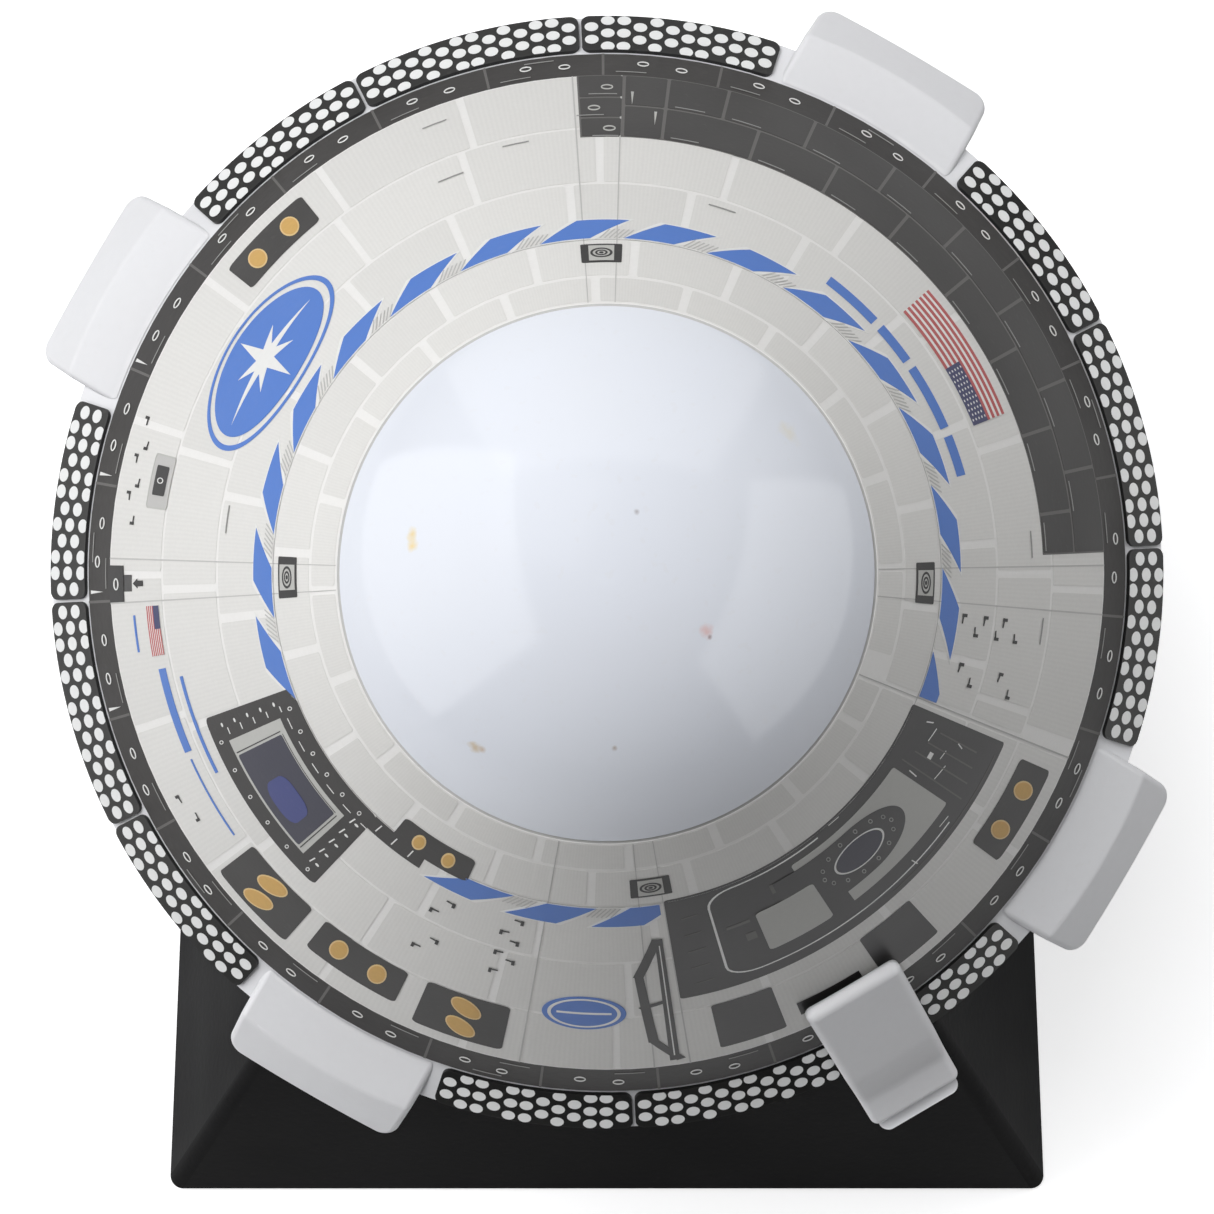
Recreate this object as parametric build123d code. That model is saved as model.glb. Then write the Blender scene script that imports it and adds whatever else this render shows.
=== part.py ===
from build123d import *
import os
from math import asin, cos, hypot, radians, sin, sqrt, tan

# Desk display model of a space capsule: crew cone and service module on a black plinth.
# Millimetres and degrees. The table is Z = 0 and the front of the plinth faces -Y.
# The capsule is drawn upright about its own axis, rim plane at Z = 0 and nose up,
# then leaned to the front and lifted over the plinth on its post.

# Attitude of the capsule over the plinth
lean_angle = 14.0
rim_height = 144.6
rim_setback = 1.0

# Fits between the pieces
push_fit = 0.15  # radial clearance of spigots, plugs and pegs in their sockets
bond_line = 0.05  # glue film under the bonded panels
saddle_gap = 0.10  # housings over the curved wall they are pegged to

# Crew cone
rim_radius = 71.25
nose_radius = 29.85  # cone's upper edge, round the nose dome
cone_half_angle = 32.5
cone_wall = 3.0
band_height = 7.0  # dark shoulder band of the heat shield
spigot_depth = 4.0
spigot_wall = 2.0

# Nose dome
dome_inset = 0.45  # the dome's edge stands in from the cone's edge
dome_height = 15.6
dome_lip = 0.8
dome_wall = 2.4

# Heat shield
rim_thickness = 2.0
rim_undercut = 0.7
rim_rounding = 0.6
plug_depth = 7.0
dish_depth = 9.0
dish_wall = 3.0

# Service module shell
module_length = 58.0
module_wall = 3.0
rim_reveal = 0.3  # ledge of the module's front that shows round the rim
flare_run = 5.8
flare_fall = 3.2
socket_depth = 10.0
aft_chamfer = 1.2

# Radiator panels on the flare, by angles from the middle of each quadrant
quadrant_angles = [15.0, 105.0, 195.0, 285.0]
middle_panel_half_angle = 12.0
side_panel_start_angle = 12.3
side_panel_end_angle = 33.25
panel_margin = 0.25  # bare flare left beyond the long edges
panel_thickness = 0.6
panel_corner = 1.2

# Thruster housings, out from the module's wall and down from its front edge
housing_angles = [60.0, 150.0, 240.0, 330.0]
housing_width = 27.2
housing_depth = 7.85
housing_length = 48.0
housing_ridge_reach = 2.45
housing_ridge_drop = 2.0
housing_slope_angle = 50.0
housing_ridge_rounding = 1.5
housing_corner = 2.6
housing_edge_rounding = 1.0
peg_radius = 1.8
peg_depth = 4.5  # into the module's wall
peg_root = 2.0  # into the piece that carries it
housing_peg_drops = [17.0, 39.0]

# Aft thrusters of each housing
thruster_offsets = [-8.2, 0.0, 8.2]
thruster_exit_radius = 2.9
thruster_waist_radius = 2.1
thruster_waist_drop = 2.2
thruster_throat_radius = 1.3
thruster_length = 5.0
thruster_wall = 0.6
thruster_pin_depth = 4.0

# Umbilical cover, from the cone out over the rim, and the foot that carries it on the module's wall
cover_angle = 300.5
cover_width = 14.1
cover_standoff = 0.8  # clear of the cone, the rim and the panels
cover_tip_height = 18.0
cover_tip_thickness = 2.9
cover_brow_reach = 5.8  # brow: out from the rim, up from the rim plane
cover_brow_rise = 3.0
cover_waist_reach = 4.55  # waist and ledge: out from the module's wall, down from its front edge
cover_waist_drop = 3.0
cover_ledge_reach = 9.1
cover_ledge_drop = 6.0
cover_skirt = 3.0  # straight wall under the ledge
cover_brow_rounding = 8.0
cover_waist_rounding = 4.0
cover_rounding = 1.2
cover_pin_radius = 1.5
cover_pin_depth = 4.0
foot_width = 12.7
foot_depth = 11.3
foot_length = 25.0
foot_corner = 1.5
foot_peg_drops = [16.0, 28.0]

# Aft bulkhead and main engines
bulkhead_recess = 3.0
bulkhead_thickness = 4.0
boss_wall = 5.0
boss_aft_height = 4.0
boss_inner_height = 14.0
engine_rim_inset = 30.6  # bulkhead's edge to an engine's axis
engine_angles = [15.0, 105.0, 195.0, 285.0]
engine_exit_radius = 9.0
engine_waist_radius = 6.6
engine_waist_drop = 6.2
engine_throat_radius = 3.6
engine_length = 14.0
engine_wall = 0.9

# Sun-cell plates on the bulkhead, one between each pair of engines
cell_plate_angles = [60.0, 150.0, 240.0, 330.0]
cell_plate_arc_angle = 50.0
cell_plate_boss_gap = 6.0
cell_plate_rim_gap = 6.5
cell_plate_thickness = 0.8

# Stand
post_radius = 6.0
post_embed = 30.0
collar_wall = 5.5
collar_height = 7.0
collar_rounding = 1.0

# Plinth
plinth_base_side = 164.0
plinth_top_side = 111.0
plinth_height = 55.0
plinth_corner = 2.5
plinth_edge_rounding = 1.0
pad_thickness = 1.0
pad_inset = 2.5

# How far blocks and cutters run past what they are cut from
overrun = 6.0

os.makedirs("parts", exist_ok=True)
lean = Pos(0, rim_setback, rim_height) * Rot(lean_angle, 0, 0)
cone_slope = tan(radians(cone_half_angle))
cone_height = (rim_radius - nose_radius) / cone_slope
cone_wall_across = cone_wall / cos(radians(cone_half_angle))
standing = (Align.CENTER, Align.CENTER, Align.MIN)
flare_front_radius = rim_radius + rim_reveal
module_radius = flare_front_radius + flare_run
module_front = -rim_thickness
module_aft = module_front - module_length


def save(name, shape):
    """Write one piece, already in place."""
    export_step(shape, f"parts/{name}.step")


def cone_radius(height):
    """Outer radius of the crew cone at a height over the rim plane."""
    return rim_radius - height * cone_slope


def outline(points):
    """Closed straight-sided face in the X-Z plane from (radius, height) pairs."""
    return make_face(Polyline([(r, 0, z) for r, z in points], close=True))


def turned(points, arc=360.0):
    """Solid of revolution about the capsule's axis from (radius, height) pairs."""
    return revolve(outline(points), Axis.Z, revolution_arc=arc)


def rounded(face, radius, place):
    """Round the corner of an X-Z face that lies nearest to a (radius, height) pair."""
    corner = min(face.vertices(), key=lambda v: hypot(v.X - place[0], v.Z - place[1]))
    return fillet([corner], radius)


def cap_arc(edge_radius, edge_height, top_height):
    """Arc from the edge of a spherical cap to its top, and the height of its centre."""
    rise = top_height - edge_height
    ball = (edge_radius**2 + rise**2) / (2 * rise)
    middle = top_height - ball
    half = asin(edge_radius / abs(ball)) / 2
    between = (abs(ball) * sin(half), 0, middle + ball * cos(half))
    return ThreePointArc((edge_radius, 0, edge_height), between, (0, 0, top_height)), middle


def along(angle):
    """Turn from the X axis to an angle about the capsule's axis."""
    return Rot(0, 0, angle)


def wall_peg(drop, root, radius):
    """Round peg along X, from inside the module's wall to its root beyond the wall."""
    length = peg_depth + root
    middle = module_radius - peg_depth + length / 2
    return Pos(middle, 0, module_front - drop) * Rot(0, 90, 0) * Cylinder(radius, length)


def bell(throat, waist, waist_drop, mouth, length, wall, pin_depth):
    """Nozzle that opens to -Z from its seat at Z = 0, with a pin above the seat."""
    outer = ThreePointArc((throat, 0, 0), (waist, 0, -waist_drop), (mouth, 0, -length))
    lip = Line((mouth, 0, -length), (mouth - wall, 0, -length))
    inner = ThreePointArc((mouth - wall, 0, -length), (waist - wall, 0, -waist_drop), (throat - wall, 0, -wall))
    core = Polyline([
        (throat - wall, 0, -wall),
        (0, 0, -wall),
        (0, 0, pin_depth),
        (throat, 0, pin_depth),
        (throat, 0, 0),
    ])
    return revolve(make_face(outer + lip + inner + core), Axis.Z)


# Nose dome: a spherical shell that stands on the cone's land, centred by its spigot
mouth_radius = nose_radius - cone_wall_across
dome_radius = nose_radius - dome_inset
dome_top = cone_height + dome_height
dome_arc, dome_middle = cap_arc(dome_radius, cone_height + dome_lip, dome_top)
inside_ball = dome_top - dome_middle - dome_wall
dome_spigot = mouth_radius - push_fit
dome_bore = dome_spigot - spigot_wall
bore_rise = dome_middle + sqrt(inside_ball**2 - dome_bore**2)
inside_arc, inside_middle = cap_arc(dome_bore, bore_rise, dome_top - dome_wall)
dome_foot = Polyline([
    (dome_radius, 0, cone_height + dome_lip),
    (dome_radius, 0, cone_height),
    (dome_spigot, 0, cone_height),
    (dome_spigot, 0, cone_height - spigot_depth),
    (dome_bore, 0, cone_height - spigot_depth),
    (dome_bore, 0, bore_rise),
])
dome_axis_line = Line((0, 0, dome_top), (0, 0, dome_top - dome_wall))
nose_dome = revolve(make_face(dome_arc + dome_foot + inside_arc + dome_axis_line), Axis.Z)
save("nose_dome", lean * nose_dome)

# Crew cone: a straight conical shell between the heat shield and the nose dome
crew_cone = turned([
    (cone_radius(band_height), band_height),
    (nose_radius, cone_height),
    (mouth_radius, cone_height),
    (cone_radius(band_height) - cone_wall_across, band_height),
])
save("crew_cone", lean * crew_cone)

# Heat shield: the dark band carries the cone, the plug under its rim sits in the module's socket
socket_radius = flare_front_radius - module_wall
plug_radius = socket_radius - push_fit
plug_foot = module_front - plug_depth
shield_spigot = cone_radius(band_height + spigot_depth) - cone_wall_across - push_fit
shield_bore = shield_spigot - spigot_wall
dish_arc, dish_middle = cap_arc(plug_radius, plug_foot, plug_foot - dish_depth)
inner_dish_arc, inner_dish_middle = cap_arc(shield_bore, plug_foot + dish_wall, plug_foot - dish_depth + dish_wall)
shield_wall = Polyline([
    (shield_bore, 0, plug_foot + dish_wall),
    (shield_bore, 0, band_height + spigot_depth),
    (shield_spigot, 0, band_height + spigot_depth),
    (shield_spigot, 0, band_height),
    (cone_radius(band_height), 0, band_height),
    (rim_radius, 0, 0),
    (rim_radius - rim_undercut, 0, module_front),
    (plug_radius, 0, module_front),
    (plug_radius, 0, plug_foot),
])
dish_axis_line = Line((0, 0, plug_foot - dish_depth), (0, 0, plug_foot - dish_depth + dish_wall))
shield_face = make_face(shield_wall + dish_arc + dish_axis_line + inner_dish_arc)
heat_shield = revolve(rounded(shield_face, rim_rounding, (rim_radius, 0)), Axis.Z)
save("heat_shield", lean * heat_shield)

# Service module: an open shell with a short flare round its front
service_module = turned([
    (socket_radius, module_front),
    (flare_front_radius, module_front),
    (module_radius, module_front - flare_fall),
    (module_radius, module_aft + aft_chamfer),
    (module_radius - aft_chamfer, module_aft),
    (module_radius - module_wall, module_aft),
    (module_radius - module_wall, module_front - socket_depth - module_wall),
    (socket_radius, module_front - socket_depth),
])
peg_places = [(angle, drop) for angle in housing_angles for drop in housing_peg_drops]
peg_places += [(cover_angle, drop) for drop in foot_peg_drops]
for angle, drop in peg_places:
    service_module -= along(angle) * wall_peg(drop, peg_root, peg_radius + push_fit)
save("service_module", lean * service_module)

# Radiator panels: thin plates bonded on the flare, three to a quadrant
flare_slant = hypot(flare_run, flare_fall)


def flare_point(distance, lift):
    """Radius and height of a point down the flare, lifted off its face."""
    share = distance / flare_slant
    radius = flare_front_radius + share * flare_run + lift * flare_fall / flare_slant
    height = module_front - share * flare_fall + lift * flare_run / flare_slant
    return radius, height


panel_top = bond_line + panel_thickness
panel_section = [
    flare_point(panel_margin, bond_line),
    flare_point(flare_slant - panel_margin, bond_line),
    flare_point(flare_slant - panel_margin, panel_top),
    flare_point(panel_margin, panel_top),
]
panel_spans = [
    (-side_panel_end_angle, -side_panel_start_angle),
    (-middle_panel_half_angle, middle_panel_half_angle),
    (side_panel_start_angle, side_panel_end_angle),
]
panel_count = 0
for quadrant in quadrant_angles:
    for start, end in panel_spans:
        panel = turned(panel_section, end - start)
        corners = panel.edges().filter_by(GeomType.LINE).group_by(SortBy.LENGTH)[0]
        panel = fillet(corners, panel_corner)
        panel_count += 1
        save(f"radiator_panel_{panel_count:02d}", lean * along(quadrant + start) * panel)

# Thruster housings: ramped boxes with a turned front, saddled over the flare and the wall on two pegs
saddle = turned([
    (0, module_front + overrun),
    (flare_front_radius + saddle_gap, module_front + overrun),
    flare_point(0, saddle_gap),
    flare_point(flare_slant, saddle_gap),
    (module_radius + saddle_gap, module_aft - overrun),
    (0, module_aft - overrun),
])
block_root = flare_front_radius - overrun
housing_outer = module_radius + housing_depth
housing_far = hypot(housing_outer, housing_width / 2) + overrun
housing_aft = module_front - housing_length
ridge = (module_radius + housing_ridge_reach, module_front - housing_ridge_drop)
slope_foot = ridge[1] - (housing_far - ridge[0]) * tan(radians(housing_slope_angle))
housing_section = outline([
    (block_root, module_front),
    (flare_front_radius, module_front),
    ridge,
    (housing_far, slope_foot),
    (housing_far, housing_aft),
    (block_root, housing_aft),
])
housing_ring = revolve(rounded(housing_section, housing_ridge_rounding, ridge), Axis.Z)
housing_plan = Pos((block_root + housing_outer) / 2, 0) * Rectangle(housing_outer - block_root, housing_width)
housing_plan = fillet(housing_plan.vertices().sort_by(Axis.X)[-2:], housing_corner)
housing_block = Pos(0, 0, housing_aft) * extrude(housing_plan, housing_length + overrun)
housing = housing_block & housing_ring
top_edges = [
    e for e in housing.edges()
    if e.center().Z > slope_foot and e.center().X > flare_front_radius - peg_root
    and abs(e.tangent_at(0.5).Z) < 0.99 and abs(e.center().Y) > 0.01
]
outer_edges = [
    e for e in housing.edges()
    if abs(e.center().Y) <= 0.01 and e.center().X > housing_outer - 0.01 and e.center().Z > slope_foot
]
housing = fillet(top_edges + outer_edges, housing_edge_rounding)
housing -= saddle
for drop in housing_peg_drops:
    housing += wall_peg(drop, peg_root, peg_radius)

# Aft thrusters: three bells pinned in the aft face of each housing
thruster = bell(
    thruster_throat_radius, thruster_waist_radius, thruster_waist_drop,
    thruster_exit_radius, thruster_length, thruster_wall, thruster_pin_depth,
)
thruster_row = module_radius + housing_depth / 2
thruster_seats = [Pos(thruster_row, offset, housing_aft) for offset in thruster_offsets]
pin_hole = Cylinder(thruster_throat_radius + push_fit, thruster_pin_depth, align=standing)
for seat in thruster_seats:
    housing -= seat * pin_hole
for number, angle in enumerate(housing_angles, start=1):
    save(f"thruster_housing_{number}", lean * along(angle) * housing)
    save(f"aft_thrusters_{number}", lean * along(angle) * Compound([seat * thruster for seat in thruster_seats]))

# Umbilical cover: a smooth brow, a waist and a ledge, drawn in section and held clear of cone and panels
standoff_across = cover_standoff / cos(radians(cone_half_angle))
cover_keep_out = turned([
    (0, cone_height),
    (nose_radius + standoff_across, cone_height),
    (rim_radius + standoff_across, 0),
    flare_point(0, panel_top + cover_standoff),
    flare_point(flare_slant, panel_top + cover_standoff),
    (module_radius + cover_standoff, module_aft),
    (0, module_aft),
])
tip_radius = cone_radius(cover_tip_height - cover_tip_thickness) + standoff_across
brow = (rim_radius + cover_brow_reach, cover_brow_rise)
waist = (module_radius + cover_waist_reach, module_front - cover_waist_drop)
ledge = (module_radius + cover_ledge_reach, module_front - cover_ledge_drop)
cover_foot = ledge[1] - cover_skirt
tip = (tip_radius, cover_tip_height)
cover_section = outline([
    tip,
    brow,
    waist,
    ledge,
    (ledge[0], cover_foot),
    (tip_radius, cover_foot),
])
for place, radius in [
    (tip, cover_rounding),
    (brow, cover_brow_rounding),
    (waist, cover_waist_rounding),
    (ledge, cover_rounding),
]:
    cover_section = rounded(cover_section, radius, place)
cover = extrude(cover_section, cover_width / 2, both=True)
cover_edges = [
    e for e in cover.edges()
    if abs(abs(e.center().Y) - cover_width / 2) < 0.01 and e.center().Z > cover_foot + 0.01
]
cover = fillet(cover_edges, cover_rounding)
cover -= cover_keep_out
pin_place = Pos((module_radius + ledge[0]) / 2, 0, cover_foot - cover_pin_depth)
cover += pin_place * Cylinder(cover_pin_radius, cover_pin_depth + peg_root, align=standing)
save("umbilical_cover", lean * along(cover_angle) * cover)

# Umbilical foot: a narrow block on the module's wall, under the cover's skirt
foot_outer = module_radius + foot_depth
foot_plan = Pos((block_root + foot_outer) / 2, 0) * Rectangle(foot_outer - block_root, foot_width)
foot_plan = fillet(foot_plan.vertices().sort_by(Axis.X)[-2:], foot_corner)
foot = Pos(0, 0, cover_foot - foot_length) * extrude(foot_plan, foot_length)
foot -= saddle
for drop in foot_peg_drops:
    foot += wall_peg(drop, peg_root, peg_radius)
foot -= pin_place * Cylinder(cover_pin_radius + push_fit, cover_pin_depth, align=standing)
save("umbilical_foot", lean * along(cover_angle) * foot)

# Aft bulkhead: a disc in the module's mouth with the post socket through its middle
socket_bore = post_radius + push_fit
boss_radius = socket_bore + boss_wall
bulkhead_radius = module_radius - module_wall - push_fit
bulkhead_aft = module_aft + bulkhead_recess
bulkhead_front = bulkhead_aft + bulkhead_thickness
boss_front = bulkhead_front + boss_inner_height
post_top = boss_front - bulkhead_thickness
bulkhead = turned([
    (socket_bore, bulkhead_aft - boss_aft_height),
    (boss_radius, bulkhead_aft - boss_aft_height),
    (boss_radius, bulkhead_aft),
    (bulkhead_radius, bulkhead_aft),
    (bulkhead_radius, bulkhead_front),
    (boss_radius, bulkhead_front),
    (boss_radius, boss_front),
    (0, boss_front),
    (0, post_top),
    (socket_bore, post_top),
])
engine = bell(
    engine_throat_radius, engine_waist_radius, engine_waist_drop,
    engine_exit_radius, engine_length, engine_wall, bulkhead_thickness,
)
engine_seats = [along(angle) * Pos(bulkhead_radius - engine_rim_inset, 0, bulkhead_aft) for angle in engine_angles]
for seat in engine_seats:
    bulkhead -= seat * Cylinder(engine_throat_radius + push_fit, bulkhead_thickness, align=standing)
save("aft_bulkhead", lean * bulkhead)
for number, seat in enumerate(engine_seats, start=1):
    save(f"main_engine_{number}", lean * seat * engine)

# Sun-cell plates: thin sectors bonded on the bulkhead between the engines
cell_plate = turned([
    (boss_radius + cell_plate_boss_gap, bulkhead_aft),
    (bulkhead_radius - cell_plate_rim_gap, bulkhead_aft),
    (bulkhead_radius - cell_plate_rim_gap, bulkhead_aft - cell_plate_thickness),
    (boss_radius + cell_plate_boss_gap, bulkhead_aft - cell_plate_thickness),
], cell_plate_arc_angle)
for number, angle in enumerate(cell_plate_angles, start=1):
    save(f"cell_plate_{number}", lean * along(angle - cell_plate_arc_angle / 2) * cell_plate)

# Stand post: a plain rod on the capsule's axis, from the bulkhead socket down into the plinth
plinth_reach = (rim_height - plinth_height) / cos(radians(lean_angle))  # rim plane to plinth top, along the axis
post_foot = -plinth_reach - post_embed
post = Pos(0, 0, post_foot) * Cylinder(post_radius, post_top - post_foot, align=standing)
save("stand_post", lean * post)

# Post collar: a leaning ring whose foot is cut level with the plinth top
collar_radius = socket_bore + collar_wall
collar_slack = collar_radius * tan(radians(lean_angle)) + overrun
collar = Cylinder(collar_radius, collar_height + collar_slack, align=standing)
collar = fillet(collar.edges().sort_by(Axis.Z)[-1:], collar_rounding)
collar -= Cylinder(socket_bore, collar_height + collar_slack, align=standing)
collar = lean * Pos(0, 0, -plinth_reach - collar_slack) * collar
below_top = Box(plinth_base_side, plinth_base_side, plinth_height, align=standing)
save("post_collar", collar - below_top)

# Plinth: a solid block with four sloping faces, bored for the post on the lean
plinth_foot = Pos(0, 0, pad_thickness) * RectangleRounded(plinth_base_side, plinth_base_side, plinth_corner)
plinth_head = Pos(0, 0, plinth_height) * RectangleRounded(plinth_top_side, plinth_top_side, plinth_corner)
plinth = loft([plinth_foot, plinth_head], ruled=True)
plinth = fillet(plinth.faces().sort_by(Axis.Z)[-1].edges(), plinth_edge_rounding)
plinth -= lean * Pos(0, 0, post_foot) * Cylinder(socket_bore, post_embed + collar_slack, align=standing)
save("plinth", plinth)

# Felt pad: the face that stands on the table
pad_side = plinth_base_side - 2 * pad_inset
save("base_pad", extrude(RectangleRounded(pad_side, pad_side, plinth_corner), pad_thickness))
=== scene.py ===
"""Looks of a desk model of a space capsule: printed cone wrap, dotted panels, white shells, black plinth.

Lengths are in millimetres and angles in degrees. An angle on the cone runs anticlockwise, seen from the nose,
from the model's right-hand side. A slant is a length up the cone's face from its rim.
"""

import logging
import math
from collections.abc import Sequence
from dataclasses import dataclass
from enum import Enum
from functools import cache
from typing import Any

import bmesh
import bpy
from mathutils import Matrix, Vector


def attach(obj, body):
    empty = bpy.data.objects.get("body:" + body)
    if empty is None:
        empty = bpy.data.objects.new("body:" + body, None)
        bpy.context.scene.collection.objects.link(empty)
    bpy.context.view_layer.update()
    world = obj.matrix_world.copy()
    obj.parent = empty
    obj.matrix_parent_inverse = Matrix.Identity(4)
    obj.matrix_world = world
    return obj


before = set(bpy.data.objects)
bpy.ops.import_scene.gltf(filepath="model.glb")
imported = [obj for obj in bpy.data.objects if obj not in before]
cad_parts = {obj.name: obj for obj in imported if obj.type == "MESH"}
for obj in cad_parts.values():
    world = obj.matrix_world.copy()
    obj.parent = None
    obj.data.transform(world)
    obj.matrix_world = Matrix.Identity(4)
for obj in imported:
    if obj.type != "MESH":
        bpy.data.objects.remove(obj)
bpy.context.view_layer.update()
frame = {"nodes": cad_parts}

LOG = logging.getLogger("capsule_model")

MM = 0.001
NOSE_SQUEEZE = 0.39  # how short a length up the cone looks from over the nose, beside one round it
LARGE_DISC = 3.0  # a disc of this radius or more is drawn in finer steps
DISC_STEPS = 24
LARGE_DISC_STEPS = 96
CORNER_STEPS = 4
STROKE_OVERLAP = 0.3  # how far each run of a line reaches past its ends, in widths of the line
WRAP_END = 338.3  # where the two ends of the printed wrap meet
QUADRANTS = (15.0, 105.0, 195.0, 285.0)  # middles of the service module's four bays
RING_MARK = (0.37, 0.17, 2.2)  # half height, line and stretch of an oval ring mark
BLACK = (0.0, 0.0, 0.0, 1.0)
WHITE = (1.0, 1.0, 1.0, 1.0)
Colour = tuple[float, float, float, float]
Tint = tuple[int, int, int]
Spot = tuple[float, float]
Triple = tuple[float, float, float]
Shape = list[Spot]
Patch = tuple[float, float, float, float]
Numbers = tuple[float, ...]
Spots = tuple[Spot, ...]
Patches = tuple[Patch, ...]
Socket = bpy.types.NodeSocket
Group = bpy.types.NodeTree


def display(tint: Tint) -> Colour:
    """Linear colour of an 8-bit display colour, with full alpha."""
    line = [((channel / 255 + 0.055) / 1.055) ** 2.4 for channel in tint]
    return (line[0], line[1], line[2], 1.0)


def scatter(*seeds: float) -> float:
    """Repeatable number from 0 to 1 for a few seeds."""
    turn = sum(seed * weight for seed, weight in zip(seeds, (12.9898, 78.233, 37.719)))
    return math.sin(turn) * 43758.5453 % 1.0


class Layer(Enum):
    """Height of a printed film over the face that carries it."""

    GROUND = 0.03
    BLOCK = 0.06
    DETAIL = 0.09
    MARK = 0.12
    TOP = 0.15
    PEAK = 0.18


class Axis(Enum):
    """The two ways across an unrolled cone face."""

    ANGLE = 0
    SLANT = 1


@dataclass(frozen=True)
class Attitude:
    """How the capsule stands over the plinth: its lean to the front and the middle of the cone's rim."""

    lean: float = 14.0
    rim_height: float = 144.6
    rim_setback: float = 1.0

    def matrix(self) -> Matrix:
        """Transform from the capsule's own axes in millimetres to the room in metres."""
        place = Matrix.Translation((0.0, self.rim_setback * MM, self.rim_height * MM))
        return place @ Matrix.Rotation(math.radians(self.lean), 4, "X") @ Matrix.Scale(MM, 4)


def moved(spot: Sequence[float], angle: float, slant: float) -> Spot:
    """A spot moved by an angle and a slant."""
    return (spot[0] + angle, spot[1] + slant)


def shifted(patch: Patch, angle: float, slant: float) -> Patch:
    """A patch moved by an angle and a slant."""
    start, end, low, high = patch
    return (start + angle, end + angle, low + slant, high + slant)


def between(outer: list[Shape], inner: list[Shape]) -> list[Shape]:
    """Four-cornered pieces of the ring between two outlines with the same count of points."""
    pairs = list(zip(outer[0], inner[0]))
    return [[a, c, d, b] for (a, b), (c, d) in zip(pairs, pairs[1:] + pairs[:1])]


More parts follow.
